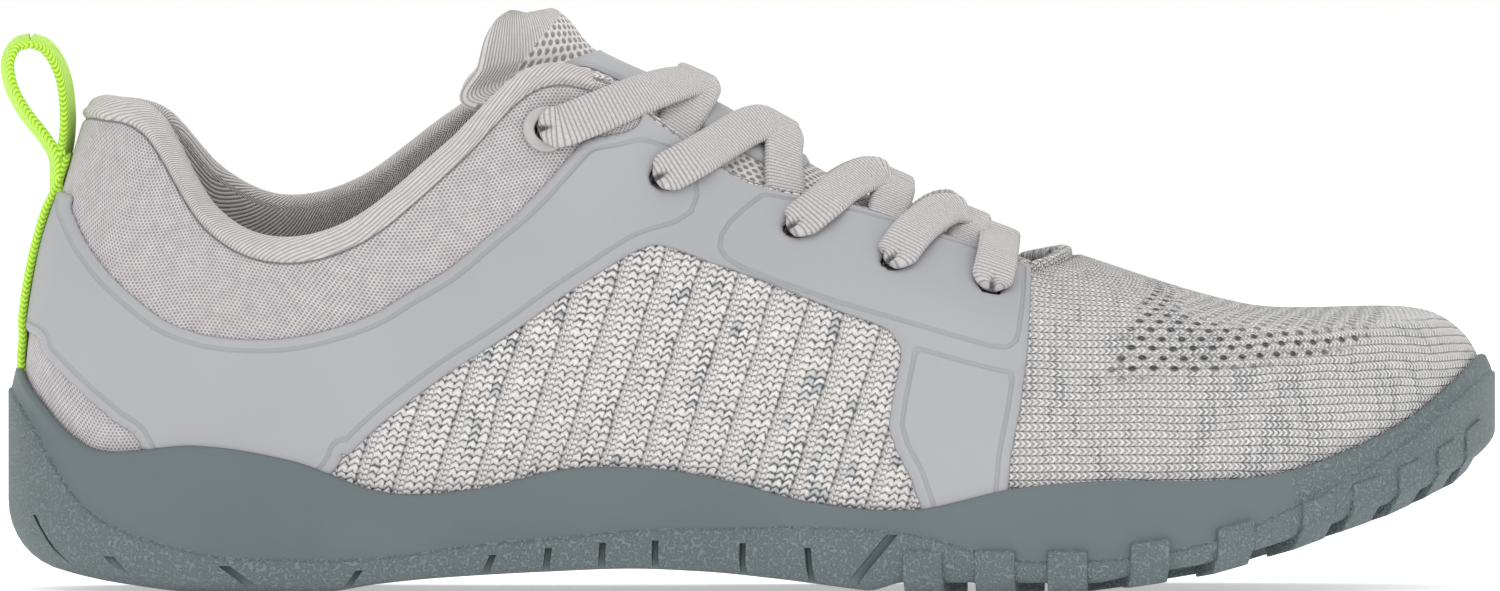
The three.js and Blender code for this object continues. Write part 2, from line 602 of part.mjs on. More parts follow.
// Sole: the wall around the upper, from its inner face over the rim to the tread's edge. In the
// forefoot the rubber under the foot lies higher than the tread by the depth of the lugs.
const lugShare = (x) => smooth((x / LENGTH - LUGS_FROM) / (LUGS_FULL - LUGS_FROM));
const underAt = (x) => treadAt(x) + LUG_DEPTH * lugShare(x);
function soleLine(at) {
  const rim = rimShare(at);
  const inner = Array.from({ length: LEVELS_IN_RIM + 1 }, (_, k) =>
    skin(at, (rim * k) / LEVELS_IN_RIM, FIT));
  inner[0].z = floorAt(inner[0].x);
  const lip = skin(at, rim, FIT + RIM_LIP);
  lip.z = inner[LEVELS_IN_RIM].z - RIM_LIP / 4;
  const tuck = bend('tuck', at) * BALL_WIDTH;
  const edge = outline(at, -tuck);
  edge.z = underAt(edge.x);
  const rimZ = lip.z;
  const stepZ = Math.min(ring('stepUp', at) * RIM_HEIGHT, rimZ - RIM_LIP);
  const corner = Math.min(tuck * 1.1, (stepZ - edge.z) * 0.8);
  const wall = (outward, z) => {
    const point = outline(at, outward);
    point.z = z;
    return point;
  };
  const quarter = (degrees) => {
    const angle = THREE.MathUtils.degToRad(degrees);
    return wall(-tuck * (1 - Math.cos(angle)), edge.z + corner * (1 - Math.sin(angle)));
  };
  return [
    ...inner,
    lip,
    wall(-TREAD_STEP - RIM_HOLLOW, lerp(rimZ, stepZ, 0.45)),
    wall(-TREAD_STEP, stepZ + STEP_HALF),
    wall(0, stepZ - STEP_HALF),
    quarter(0),
    quarter(45),
    edge,
  ];
}

// Closes a ring of points with strips from side to side
function cap(loop, heightAt) {
  const count = loop.length;
  const lines = [];
  for (let k = 0; k <= count / 2; k += 1) {
    const outer = loop[k];
    const inner = loop[(count - k) % count];
    const line = Array.from({ length: CAP_COLUMNS + 1 }, (_, c) => {
      if (c === 0) return outer;
      if (c === CAP_COLUMNS) return inner;
      const point = outer.clone().lerp(inner, c / CAP_COLUMNS);
      if (outer !== inner) point.z = heightAt(point.x);
      return point;
    });
    lines.push(line);
  }
  return gridFaces(lines);
}
function soleSolid() {
  const lines = ribPlaces.map((at) => soleLine(at));
  const last = lines[0].length - 1;
  return solidFrom([
    ...gridFaces(lines, true),
    ...reversed(cap(lines.map((line) => line[0]), floorAt)),
    ...cap(lines.map((line) => line[last]), underAt),
  ]);
}

// Place on the ring at a share of LENGTH, on the outer side, or its mirror on the inner side
function ringPlace(along, innerSide) {
  let low = innerSide ? ROWS : 0;
  let high = TOE_ROW;
  for (let step = 0; step < 30; step += 1) {
    const middle = (low + high) / 2;
    if (ring('along', middle) < along) low = middle;
    else high = middle;
  }
  return (low + high) / 2;
}

// An edge lug: its outline from the front, swept along the rubber's edge over the lug's width
const onTread = (point, above) => point.setZ(treadAt(point.x) + above);
function edgeLug(at) {
  const tuck = bend('tuck', at) * BALL_WIDTH;
  const corners = [
    [-tuck * 0.8, 0],
    [LUG_PROUD, tuck * 0.9],
    [LUG_PROUD, LUG_REACH - LUG_PROUD],
    [-TREAD_STEP - LUG_PROUD, LUG_REACH],
    [-RIM_WALL, LUG_REACH],
    [-FEATHER_INSET, lugRoot],
    [-LUG_INWARD, lugRoot],
    [-LUG_INWARD, 0],
  ];
  const step = 0.05;
  const ahead = onTread(outline(at + step), 0);
  const forward = ahead.sub(onTread(outline(at - step), 0)).setLength(LUG_WIDTH / 2);
  const middle = corners.map(([outward, above]) => onTread(outline(at, outward), above));
  const loops = [-1, 1].map((end) => middle.map((point) => point.clone().addScaledVector(forward, end)));
  return solidFrom(tubeFaces(loops));
}
const lugRoot = LUG_DEPTH + UNDERFOOT / 3;
const lugs = [false, true].flatMap((innerSide) =>
  EDGE_LUGS.map((along) => edgeLug(ringPlace(along, innerSide))));

// A block of the tread between the edge lugs
function treadBlock(x, y) {
  const loops = [-1, 1].map((end) => {
    const back = vec(x - BLOCK_LENGTH / 2, y + (end * BLOCK_WIDTH) / 2, 0);
    const front = back.clone().setX(x + BLOCK_LENGTH / 2);
    return [
      onTread(back.clone(), 0), onTread(front.clone(), 0),
      onTread(front.clone(), lugRoot), onTread(back.clone(), lugRoot),
    ];
  });
  return solidFrom(tubeFaces(loops));
}
const widthAt = (along, innerSide) => Math.abs(outline(ringPlace(along, innerSide)).y);
const firstBlock = LUGS_FULL * LENGTH + BLOCK_LENGTH;
const blockLines = Math.floor((LENGTH * 0.95 - firstBlock) / BLOCK_PITCH);
for (let line = 0; line <= blockLines; line += 1) {
  const x = firstBlock + line * BLOCK_PITCH;
  const reachOut = widthAt(x / LENGTH, false) - LUG_INWARD - BLOCK_WIDTH * 0.8;
  const reachIn = widthAt(x / LENGTH, true) - LUG_INWARD - BLOCK_WIDTH * 0.8;
  const shift = (line % 2) * (BLOCK_PITCH / 2);
  for (let y = -BLOCK_PITCH * 3 + shift; y <= BLOCK_PITCH * 3; y += BLOCK_PITCH) {
    if (y > -reachOut && y < reachIn) lugs.push(treadBlock(x, y));
  }
}
let outsole = soleSolid();
for (const lug of lugs) outsole = outsole.add(lug);
for (const { foot, head, headUp } of rows(SIPE_COLUMNS, SIPES)) {
  for (const innerSide of [false, true]) {
    const ends = [[foot, -LUG_DEPTH], [head, headUp * RIM_HEIGHT]].map(([along, z]) => {
      const at = ringPlace(along, innerSide);
      return { out: outline(at, 3).setZ(z), deep: outline(at, -SIPE_DEPTH).setZ(z) };
    });
    const loops = ends.map(({ out, deep }) => {
      const half = vec(SIPE_WIDTH / 2, 0, 0);
      return [out.clone().sub(half), deep.clone().sub(half), deep.clone().add(half), out.clone().add(half)];
    });
    outsole = outsole.subtract(solidFrom(tubeFaces(loops)));
  }
}
addPiece('outsole', mainBody(outsole), 0x6f7b7d, 0.75);

// Insole: a sheet of foam on the floor of the cup, inside the lower edge of the upper
function insoleLine(at) {
  const low = inside(at, 0, FIT * 2);
  low.z = floorAt(low.x) + FIT;
  const share = INSOLE_THICKNESS / rib(at).getLength();
  const high = inside(at, share, FIT * 2);
  high.z = floorAt(high.x) + FIT + INSOLE_THICKNESS;
  return [low, high];
}
const insoleLines = ribPlaces.map(insoleLine);
addPiece('insole', solidFrom([
  ...gridFaces(insoleLines, true),
  ...cap(insoleLines.map((line) => line[1]), (x) => floorAt(x) + FIT + INSOLE_THICKNESS),
  ...reversed(cap(insoleLines.map((line) => line[0]), (x) => floorAt(x) + FIT)),
]), 0x8f8d8d, 0.9);

// Tongue: padded sections from under the vamp to above the collar, tucked in under the throat
const ridge = RIDGE_ACROSS * BALL_WIDTH;
const tongueRows = rows(TONGUE_COLUMNS, TONGUE);
const tongueKeys = tongueRows.map(({ row }) => -row);
const crestAt = (row, column) =>
  steadyCurve(tongueKeys, tongueRows.map((line) => line[column]), -row);
function pairedFaceLine(row) {
  const crest = vec(crestAt(row, 'crestAlong') * LENGTH, ridge, crestAt(row, 'crestUp') * INSTEP_HEIGHT);
  const half = (at) => {
    const [wing, edge] = [TONGUE_TUCK, 0].map((down) => inside(at, holeShare(at, down), TONGUE_FIT));
    const bows = [1 / 3, 2 / 3].map((part) => {
      const bowed = 1 - (1 - part) ** 2;
      return vec(lerp(edge.x, crest.x, bowed), lerp(edge.y, ridge, part), lerp(edge.z, crest.z, bowed));
    });
    return [wing, edge, ...bows];
  };
  return [...half(row), crest, ...half(ROWS - row).reverse()];
}
function freeFaceLine({ crestAlong, crestUp, wingAlong, wingAcross, wingUp }) {
  return [-1, -0.8, -0.53, -0.27, 0, 0.27, 0.53, 0.8, 1].map((share) => vec(
    lerp(crestAlong, wingAlong, share ** 2) * LENGTH,
    ridge + wingAcross * BALL_WIDTH * share,
    lerp(crestUp, wingUp, share ** 2) * INSTEP_HEIGHT,
  ));
}
const tongueFace = [
  freeFaceLine(rows(TONGUE_TOP_COLUMNS, TONGUE_NOSE)[0]),
  ...tongueRows.map(({ row }) => pairedFaceLine(row)),
  ...rows(TONGUE_TOP_COLUMNS, TONGUE_TOP).map(freeFaceLine),
];
const lastLine = tongueFace.length - 1;
const lastColumn = tongueFace[0].length - 1;
function tongueNormal(line, column) {
  const across = tongueFace[line][Math.min(column + 1, lastColumn)].clone()
    .sub(tongueFace[line][Math.max(column - 1, 0)]);
  const along = tongueFace[Math.min(line + 1, lastLine)][column].clone()
    .sub(tongueFace[Math.max(line - 1, 0)][column]);
  return across.cross(along).normalize();
}
const onTongue = (line, column, outward) =>
  tongueFace[line][column].clone().addScaledVector(tongueNormal(line, column), outward);
const tonguePad = (line, column) =>
  (line > 0 && column > 1 && column < lastColumn - 1 ? TONGUE_PAD : TONGUE_EDGE);
addPiece('tongue', solidFrom(shellFaces(tongueFace, tongueFace.map((face, line) =>
  face.map((_, column) => onTongue(line, column, -tonguePad(line, column)))))), 0xbdb8b3, 0.9);

// Tongue film: a smooth patch welded to the middle of the tongue, under the lace
const patchLines = tongueFace.map((_, line) => line).slice(PATCH_FIRST_LINE, PATCH_LAST_LINE + 1);
const patchColumns = tongueFace[0].map((_, column) => column).slice(2, -2);
const patchGrid = (outward) => patchLines.map((line) =>
  patchColumns.map((column) => onTongue(line, column, outward)));
addPiece('tongue_film', solidFrom(shellFaces(patchGrid(PATCH_FIT + PATCH_FILM), patchGrid(PATCH_FIT))),
  0xb0b0ae, 0.6);

// A flat band swept along a route of { place, out } with out square to its face
function band(route, width, thickness) {
  return solidFrom(tubeFaces(route.map(({ place, out }, k) => {
    const ahead = route[Math.min(k + 1, route.length - 1)].place;
    const behind = route[Math.max(k - 1, 0)].place;
    const forward = ahead.clone().sub(behind).normalize();
    const across = forward.clone().cross(out).normalize().multiplyScalar(width / 2);
    const up = across.clone().cross(forward).setLength(thickness / 2);
    return [[1, 1], [1, -1], [-1, -1], [-1, 1]].map(([side, face]) =>
      place.clone().addScaledVector(across, side).addScaledVector(up, face));
  })));
}

// Lace: from each hole over the tongue to the next hole of the other side, with a straight bar
// over the lowest pair. The crossings are one flat solid.
const laceLift = PATCH_FIT + PATCH_FILM + LACE_EASE + LACE_THICKNESS / 2;
function laceOverTongue(row, across) {
  const line = pairedFaceLine(row);
  const place = lerp(lastColumn / 2, across < 0 ? 1 : lastColumn - 1, Math.abs(across));
  const low = Math.floor(place);
  const part = place - low;
  const at = (k) => line[Math.min(k, lastColumn)];
  const out = at(low + 1).clone().sub(at(low)).cross(
    vec(LENGTH * (crestAt(row - 0.5, 'crestAlong') - crestAt(row + 0.5, 'crestAlong')), 0,
      INSTEP_HEIGHT * (crestAt(row - 0.5, 'crestUp') - crestAt(row + 0.5, 'crestUp'))),
  ).normalize();
  const point = at(low).clone().lerp(at(low + 1), part).addScaledVector(out, laceLift);
  return { place: point, out };
}
const eyestayLift = Math.max(FIT + FILM, FIT * 2 + RING_FLANGE) + FIT * 2 + LACE_THICKNESS / 2;
const laceOverWall = (at, share) => ({ place: skin(at, share, eyestayLift), out: skinNormal(at, share) });
const laceOverEdge = (at) => [25, 70].map((degrees) => onRoll(at, degrees, eyestayLift));
function laceStrap(fromRow, toRow, side) {
  const start = side < 0 ? fromRow : ROWS - fromRow;
  const hole = holeShare(start, holeRows.find(({ row }) => row === fromRow).down);
  const ahead = side < 0 ? 0.2 : -0.2;
  const rowAt = (across) => lerp(fromRow, toRow, (across + 1.2) / (LACE_END + 1.2));
  return [
    laceOverWall(start, hole),
    laceOverWall(start, (1 + hole) / 2),
    ...laceOverEdge(start + ahead),
    ...[...LACE_OVER, LACE_END].map((across) => laceOverTongue(rowAt(across), -side * across)),
  ];
}
const straps = holeRows.slice(0, -1).flatMap(({ row }, k) =>
  [-1, 1].map((side) => laceStrap(row, holeRows[k + 1].row + LACE_AHEAD, side)));
const { row: barRow, down: barDown } = holeRows[holeRows.length - 1];
const barEnd = (at) => [
  ...[barDown, barDown / 2].map((down) => laceOverWall(at, holeShare(at, down))), ...laceOverEdge(at),
];
straps.push([
  ...barEnd(barRow),
  ...BAR_OVER.map((across) => laceOverTongue(barRow, across)),
  ...barEnd(ROWS - barRow).reverse(),
]);
const lace = straps.map((route) => band(route, LACE_WIDTH, LACE_THICKNESS))
  .reduce((joined, strap) => joined.add(strap));
addPiece('lace', lace, 0xc2bebd, 0.85);

// Pull loop: a tape stitched up the back of the heel, with its loop standing above the collar
const tapeLift = FIT + FILM + FIT + TAPE_THICKNESS / 2;
const heelShares = [0, 0.25, 0.5, 0.75, 1].map((part) =>
  lerp(rimShare(0) + RIM_LIP / rib(0).getLength(), TAPE_SPLIT, part));
const heelTape = heelShares.map((share) => ({ place: skin(0, share, tapeLift), out: skinNormal(0, share) }));
const loopPoints = rows(POINT_COLUMNS, LOOP).map(({ along, up }) => vec(along * LENGTH, 0, up * HEEL_HEIGHT));
const loopTape = loopPoints.map((place, k) => {
  const ahead = loopPoints[Math.min(k + 1, loopPoints.length - 1)];
  const behind = loopPoints[Math.max(k - 1, 0)];
  const forward = ahead.clone().sub(behind).normalize();
  return { place, out: vec(-forward.z, 0, forward.x) };
});
const loopTop = Math.floor(loopTape.length / 2);
const tapeUp = band([...heelTape, ...loopTape.slice(0, loopTop + 1)], TAPE_WIDTH, TAPE_THICKNESS);
const tapeDown = band(loopTape.slice(loopTop - 1), TAPE_WIDTH, TAPE_THICKNESS);
addPiece('pull_loop', tapeUp.add(tapeDown), 0xb8f53a, 0.8);

// Moulded rings in the top pair of lace holes, each a flange with a tube through the collar
const flangeTop = RING_FLANGE + FIT * 2;
const ringProfile = [
  [RING_BORE / 2, -WALL * 2], [ringTube, -WALL * 2], [ringTube, FIT * 2],
  [RING_DIAMETER / 2, FIT * 2], [RING_DIAMETER / 2, flangeTop - RING_EDGE],
  [RING_DIAMETER / 2 - RING_EDGE, flangeTop], [RING_BORE / 2 + RING_EDGE, flangeTop],
  [RING_BORE / 2, flangeTop - RING_EDGE], [RING_BORE / 2, -WALL * 2],
].map(([r, y]) => new THREE.Vector2(r, y));
const ringForm = new THREE.LatheGeometry(ringProfile, ROUND_STEPS);
holePlaces.filter(({ pair }) => pair === 0).forEach(({ at, share }, side) => {
  const name = side === 0 ? 'eyelet_outer' : 'eyelet_inner';
  addPiece(name, solidOf(acrossWall(ringForm, at, share)), 0x9d9a99, 0.5);
});

// The whole shoe stands with the middle of its box over the origin
const box = new THREE.Box3().setFromObject(shoe);
const centre = box.getCenter(new THREE.Vector3());
shoe.position.set(-centre.x, -centre.y, -box.min.z);

export default shoe;
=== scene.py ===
import math

import bmesh
import bpy
import numpy as np
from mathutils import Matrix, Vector


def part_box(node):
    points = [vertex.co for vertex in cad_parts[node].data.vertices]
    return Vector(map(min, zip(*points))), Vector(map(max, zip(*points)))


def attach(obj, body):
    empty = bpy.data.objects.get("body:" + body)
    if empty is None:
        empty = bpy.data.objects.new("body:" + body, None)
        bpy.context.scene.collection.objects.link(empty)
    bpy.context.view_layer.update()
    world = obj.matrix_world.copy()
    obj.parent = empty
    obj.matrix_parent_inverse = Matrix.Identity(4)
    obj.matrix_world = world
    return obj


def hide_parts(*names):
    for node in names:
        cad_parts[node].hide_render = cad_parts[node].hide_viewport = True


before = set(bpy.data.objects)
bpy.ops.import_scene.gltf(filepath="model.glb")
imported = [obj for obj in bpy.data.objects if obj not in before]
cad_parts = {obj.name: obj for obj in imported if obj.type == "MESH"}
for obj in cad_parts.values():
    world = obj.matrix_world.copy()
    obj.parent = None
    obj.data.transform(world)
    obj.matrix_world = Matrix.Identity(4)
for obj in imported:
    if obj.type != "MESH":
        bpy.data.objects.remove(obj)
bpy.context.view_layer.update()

# The upper: one knitted and padded shell. The heel and collar are a warm grey spacer fabric with
# fine pinholes, the side window is a chunky rib knit, the toe a jersey knit with eyelet stitches,
# and ribbed stretch lycra rolls over the collar's edge and lines the inside.

# It is stretched over the last, the shape that the whole shoe is built on. All sizes are in
# millimetres from the back of the heel and the floor, and place() moves a point into the frame.
LENGTH = 280
BALL_WIDTH = 104
HEEL_HEIGHT = 92
INSTEP_HEIGHT = 99
RIM_HEIGHT = 42
TREAD_LIFT = 4.5
TOE_SPRING = 25
FEATHER_INSET = 6.5
RIM_WALL = 2.8
UNDERFOOT = 6.2
WALL = 1.8
COLLAR_PAD = 3.8
FIT = 0.3

# along, across, topAlong, topAcross, heelUp, instepUp, rimUp, stepUp, from the back of the heel
# by the outer side to the toe and back by the inner side
RING = np.array([
    [0.000, 0.000, 0.053, 0.000, 0.985, 0.000, 0.990, 0.900],
    [0.014, -0.183, 0.064, -0.120, 0.985, 0.000, 0.860, 0.760],
    [0.057, -0.308, 0.096, -0.216, 0.950, 0.000, 0.626, 0.350],
    [0.129, -0.361, 0.136, -0.277, 0.760, 0.000, 0.643, 0.170],
    [0.193, -0.365, 0.183, -0.303, 0.520, 0.162, 0.576, 0.140],
    [0.254, -0.365, 0.239, -0.312, 0.220, 0.480, 0.438, 0.150],
    [0.314, -0.370, 0.300, -0.298, 0.000, 0.825, 0.452, 0.205],
    [0.371, -0.380, 0.354, -0.274, 0.000, 0.970, 0.538, 0.240],
    [0.425, -0.399, 0.400, -0.250, 0.000, 0.960, 0.548, 0.274],
    [0.475, -0.423, 0.438, -0.236, 0.000, 0.884, 0.500, 0.281],
    [0.536, -0.462, 0.493, -0.216, 0.000, 0.778, 0.398, 0.290],
    [0.604, -0.500, 0.564, -0.197, 0.000, 0.732, 0.367, 0.260],
    [0.671, -0.519, 0.629, -0.168, 0.000, 0.670, 0.457, 0.150],
    [0.736, -0.524, 0.677, -0.125, 0.000, 0.618, 0.493, 0.150],
    [0.800, -0.498, 0.687, -0.106, 0.000, 0.622, 0.493, 0.220],
    [0.857, -0.438, 0.695, -0.087, 0.000, 0.628, 0.533, 0.370],
    [0.907, -0.346, 0.700, -0.065, 0.000, 0.634, 0.643, 0.540],
    [0.945, -0.240, 0.704, -0.043, 0.000, 0.639, 0.771, 0.700],
    [0.973, -0.115, 0.706, -0.021, 0.000, 0.642, 0.905, 0.850],
    [0.993, 0.014, 0.707, 0.000, 0.000, 0.644, 1.010, 0.950],
    [1.000, 0.139, 0.7075, 0.014, 0.000, 0.645, 1.035, 0.970],
    [0.994, 0.250, 0.707, 0.029, 0.000, 0.645, 1.010, 0.950],
    [0.973, 0.346, 0.706, 0.050, 0.000, 0.644, 0.917, 0.850],
    [0.939, 0.418, 0.704, 0.072, 0.000, 0.643, 0.762, 0.680],
    [0.893, 0.462, 0.700, 0.094, 0.000, 0.641, 0.619, 0.500],
    [0.839, 0.486, 0.695, 0.115, 0.000, 0.638, 0.536, 0.320],
    [0.786, 0.490, 0.687, 0.135, 0.000, 0.634, 0.500, 0.200],
    [0.736, 0.484, 0.677, 0.154, 0.000, 0.630, 0.488, 0.150],
    [0.671, 0.464, 0.629, 0.192, 0.000, 0.682, 0.464, 0.150],
    [0.604, 0.428, 0.564, 0.216, 0.000, 0.742, 0.417, 0.260],
    [0.536, 0.385, 0.493, 0.236, 0.000, 0.793, 0.452, 0.290],
    [0.475, 0.346, 0.438, 0.250, 0.000, 0.894, 0.536, 0.300],
    [0.425, 0.325, 0.400, 0.264, 0.000, 0.965, 0.595, 0.300],
    [0.371, 0.315, 0.354, 0.279, 0.000, 0.980, 0.595, 0.270],
    [0.314, 0.319, 0.300, 0.298, 0.000, 0.880, 0.548, 0.215],
    [0.254, 0.332, 0.239, 0.312, 0.200, 0.570, 0.476, 0.160],
    [0.193, 0.346, 0.183, 0.303, 0.560, 0.200, 0.571, 0.140],
    [0.129, 0.351, 0.136, 0.277, 0.835, 0.000, 0.643, 0.170],
    [0.057, 0.298, 0.096, 0.216, 0.960, 0.000, 0.626, 0.350],
    [0.014, 0.178, 0.064, 0.120, 0.985, 0.000, 0.860, 0.760],
])
ROWS = len(RING)
RING_COLUMNS = ["along", "across", "topAlong", "topAcross", "heelUp", "instepUp", "rimUp", "stepUp"]

# sideUp, swell, shoulderIn, shoulderUp, crown, pad, tuck, at every second row of the ring
BEND = np.array([
    [0.30, 0.000, 0.28, 0.52, 0.000, 1.0, 0.115],
    [0.34, 0.000, 0.36, 0.54, 0.000, 1.0, 0.080],
    [0.34, 0.000, 0.42, 0.55, 0.000, 1.0, 0.045],
    [0.22, 0.000, 0.30, 0.52, 0.000, 1.0, 0.040],
    [0.18, 0.000, 0.26, 0.52, 0.000, 0.6, 0.040],
    [0.18, 0.000, 0.30, 0.55, 0.005, 0.1, 0.040],
    [0.21, 0.000, 0.30, 0.60, 0.012, 0.1, 0.035],
    [0.25, 0.000, 0.24, 0.56, 0.018, 0.2, 0.035],
    [0.28, 0.000, 0.17, 0.48, -0.002, 0.3, 0.032],
    [0.35, 0.000, 0.12, 0.44, -0.030, 0.3, 0.030],
    [0.39, 0.000, 0.10, 0.43, -0.043, 0.3, 0.030],
    [0.35, 0.000, 0.12, 0.46, -0.032, 0.3, 0.030],
    [0.28, 0.000, 0.16, 0.52, -0.006, 0.3, 0.032],
    [0.25, 0.000, 0.23, 0.59, 0.016, 0.2, 0.035],
    [0.22, 0.000, 0.27, 0.61, 0.012, 0.1, 0.035],
    [0.20, 0.000, 0.22, 0.54, 0.005, 0.1, 0.040],
    [0.20, 0.006, 0.10, 0.50, 0.000, 0.6, 0.045],
    [0.24, 0.006, 0.15, 0.50, 0.000, 1.0, 0.045],
    [0.32, 0.002, 0.38, 0.53, 0.000, 1.0, 0.045],
    [0.34, 0.000, 0.36, 0.54, 0.000, 1.0, 0.080],
])
BEND_COLUMNS = ["sideUp", "swell", "shoulderIn", "shoulderUp", "crown", "pad", "tuck"]

# along, arch, spring of the tread
TREAD = np.array([
    [0.000, 1.60, 0.00], [0.050, 0.70, 0.00], [0.080, 0.33, 0.00], [0.132, 0.00, 0.00],
    [0.210, 0.00, 0.00], [0.250, 0.35, 0.00], [0.290, 0.60, 0.00], [0.360, 0.86, 0.00],
    [0.420, 1.00, 0.00], [0.465, 0.90, 0.00], [0.520, 0.58, 0.00], [0.575, 0.15, 0.00],
    [0.600, 0.00, 0.00], [0.725, 0.00, 0.00], [0.750, 0.00, 0.05], [0.800, 0.00, 0.14],
    [0.857, 0.00, 0.32], [0.893, 0.00, 0.46], [0.929, 0.00, 0.60], [0.957, 0.00, 0.74],
    [0.979, 0.00, 0.88], [1.000, 0.00, 1.10],
])
HEEL_FLAT = 0.17


def closed_spline(values, at):
    """A smooth curve through values at equal steps that closes on itself"""
    count = len(values)
    at = np.mod(at, count)
    index = np.floor(at).astype(int) % count
    part = at - np.floor(at)
    before, start, end, after = (values[(index + step) % count] for step in (-1, 0, 1, 2))
    slope_start = (end - before) / 2
    slope_end = (after - start) / 2
    cubed, squared = part**3, part**2
    return ((2 * cubed - 3 * squared + 1) * start + (cubed - 2 * squared + part) * slope_start
            + (3 * squared - 2 * cubed) * end + (cubed - squared) * slope_end)


def steady_curve(keys, values, at):
    """A curve through keyed values with no overshoot: flat stretches stay flat"""
    at = np.clip(at, keys[0], keys[-1])
    index = np.clip(np.searchsorted(keys, at, side="left") - 1, 0, len(keys) - 2)
    slopes = np.diff(values) / np.diff(keys)
    before, after = slopes[:-1], slopes[1:]
    product = before * after
    total = np.where(product > 0, before + after, 1)
    middle = np.where(product > 0, 2 * product / total, 0)
    tangents = np.concatenate([slopes[:1], middle, slopes[-1:]])
    span = (keys[1:] - keys[:-1])[index]
    part = (at - keys[index]) / span
    cubed, squared = part**3, part**2
    return ((2 * cubed - 3 * squared + 1) * values[index]
            + (cubed - 2 * squared + part) * span * tangents[index]
            + (3 * squared - 2 * cubed) * values[index + 1]
            + (cubed - squared) * span * tangents[index + 1])


def ring(name, at):
    return closed_spline(RING[:, RING_COLUMNS.index(name)], np.asarray(at, float))


def bend(name, at):
    return closed_spline(BEND[:, BEND_COLUMNS.index(name)], np.asarray(at, float) / 2)


def tread_at(x):
    return steady_curve(TREAD[:, 0], TREAD[:, 1] * TREAD_LIFT + TREAD[:, 2] * TOE_SPRING, x / LENGTH)


def floor_at(x):
    return UNDERFOOT + tread_at(np.maximum(x, HEEL_FLAT * LENGTH))


def unit(vectors):
    return vectors / np.maximum(np.linalg.norm(vectors, axis=-1, keepdims=True), 1e-9)


def smooth(value):
    value = np.clip(value, 0, 1)
    return value * value * (3 - 2 * value)


def outline(at, outward=0.0):
    """Outline of the rubber in plan, moved outward by a distance"""
    at = np.asarray(at, float)

    def spot(places):
        return np.stack([ring("along", places) * LENGTH, ring("across", places) * BALL_WIDTH,
                         np.zeros(places.shape)], -1)

    forward = unit(spot(at + 0.05) - spot(at - 0.05))
    across = np.stack([forward[..., 1], -forward[..., 0], np.zeros(at.shape)], -1)
    return spot(at) + across * np.asarray(outward, float)[..., None]


RIB_STEPS = 240


def dense_ribs(at):
    """Ribs of the upper's outer face, finely divided, with the length along each"""
    foot = outline(at, np.full(at.shape, -FEATHER_INSET))
    foot[:, 2] = floor_at(foot[:, 0]) + FIT
    top = np.stack([ring("topAlong", at) * LENGTH, ring("topAcross", at) * BALL_WIDTH,
                    ring("heelUp", at) * HEEL_HEIGHT + ring("instepUp", at) * INSTEP_HEIGHT], -1)
    side = outline(at, bend("swell", at) * BALL_WIDTH - RIM_WALL)
    side[:, 2] = foot[:, 2] + (top[:, 2] - foot[:, 2]) * bend("sideUp", at)
    shoulder = side + (top - side) * bend("shoulderIn", at)[:, None]
    shoulder[:, 2] = side[:, 2] + (top[:, 2] - side[:, 2]) * bend("shoulderUp", at)
    crown = (shoulder + top) / 2
    crown[:, 2] += bend("crown", at) * INSTEP_HEIGHT
    knots = [2 * foot - side, foot, side, shoulder, crown, top, 2 * top - crown]
    pieces = []
    for k in range(4):
        a, b, c, d = knots[k:k + 4]
        spans = [np.linalg.norm(q - p, axis=-1, keepdims=True) ** 0.5 for p, q in ((a, b), (b, c), (c, d))]
        slope_b = ((b - a) / spans[0] - (c - a) / (spans[0] + spans[1]) + (c - b) / spans[1]) * spans[1]
        slope_c = ((c - b) / spans[1] - (d - b) / (spans[1] + spans[2]) + (d - c) / spans[2]) * spans[1]
        part = np.linspace(0, 1, RIB_STEPS // 4, endpoint=False)[None, :, None]
        start, end, rise, fall = (v[:, None, :] for v in (b, c, slope_b, slope_c))
        pieces.append((2 * part**3 - 3 * part**2 + 1) * start + (part**3 - 2 * part**2 + part) * rise
                      + (3 * part**2 - 2 * part**3) * end + (part**3 - part**2) * fall)
    points = np.concatenate([*pieces, top[:, None, :]], 1)
    steps = np.linalg.norm(np.diff(points, axis=1), axis=-1)
    lengths = np.concatenate([np.zeros((len(at), 1)), np.cumsum(steps, 1)], 1)
    return points, lengths


def skin(at, shares):
    """Points and outward normals of the upper's outer face, at shares of each rib's length"""
    at = np.asarray(at, float)
    shares = np.asarray(shares, float)

    def sample(places, parts):
        points, lengths = dense_ribs(places)
        found = np.empty((*parts.shape, 3))
        for row in range(len(places)):
            wanted = np.clip(parts[row], 0, 1) * lengths[row, -1]
            for axis in range(3):
                found[row, :, axis] = np.interp(wanted, lengths[row], points[row, :, axis])
        return found

    around = sample(at + 0.1, shares) - sample(at - 0.1, shares)
    up = sample(at, shares + 0.02) - sample(at, shares - 0.02)
    return sample(at, shares), unit(np.cross(around, up))


def rib_length(at):
    return dense_ribs(np.atleast_1d(np.asarray(at, float)))[1][:, -1]


def rim_share(at):
    """Share of each rib at which it passes the upper edge of the rubber"""
    points, lengths = dense_ribs(at)
    height = ring("rimUp", at) * RIM_HEIGHT
    first = np.argmax(points[:, :, 2] >= height[:, None], axis=1)
    line = np.arange(len(at))
    below, above = points[line, first - 1, 2], points[line, first, 2]
    part = (height - below) / (above - below)
    start, end = lengths[line, first - 1], lengths[line, first]
    return (start + (end - start) * part) / lengths[:, -1]


def wall_at(at, shares):
    pad = np.maximum(bend("pad", at), 0)[:, None]
    return WALL + COLLAR_PAD * pad * smooth((shares - 0.68) / 0.32)


loop_low, loop_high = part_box("pull_loop")
SHIFT = np.array([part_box("outsole")[1].x - LENGTH / 1000, (loop_low.y + loop_high.y) / 2, 0.0])


def place(points):
    return np.asarray(points, float) / 1000 + SHIFT


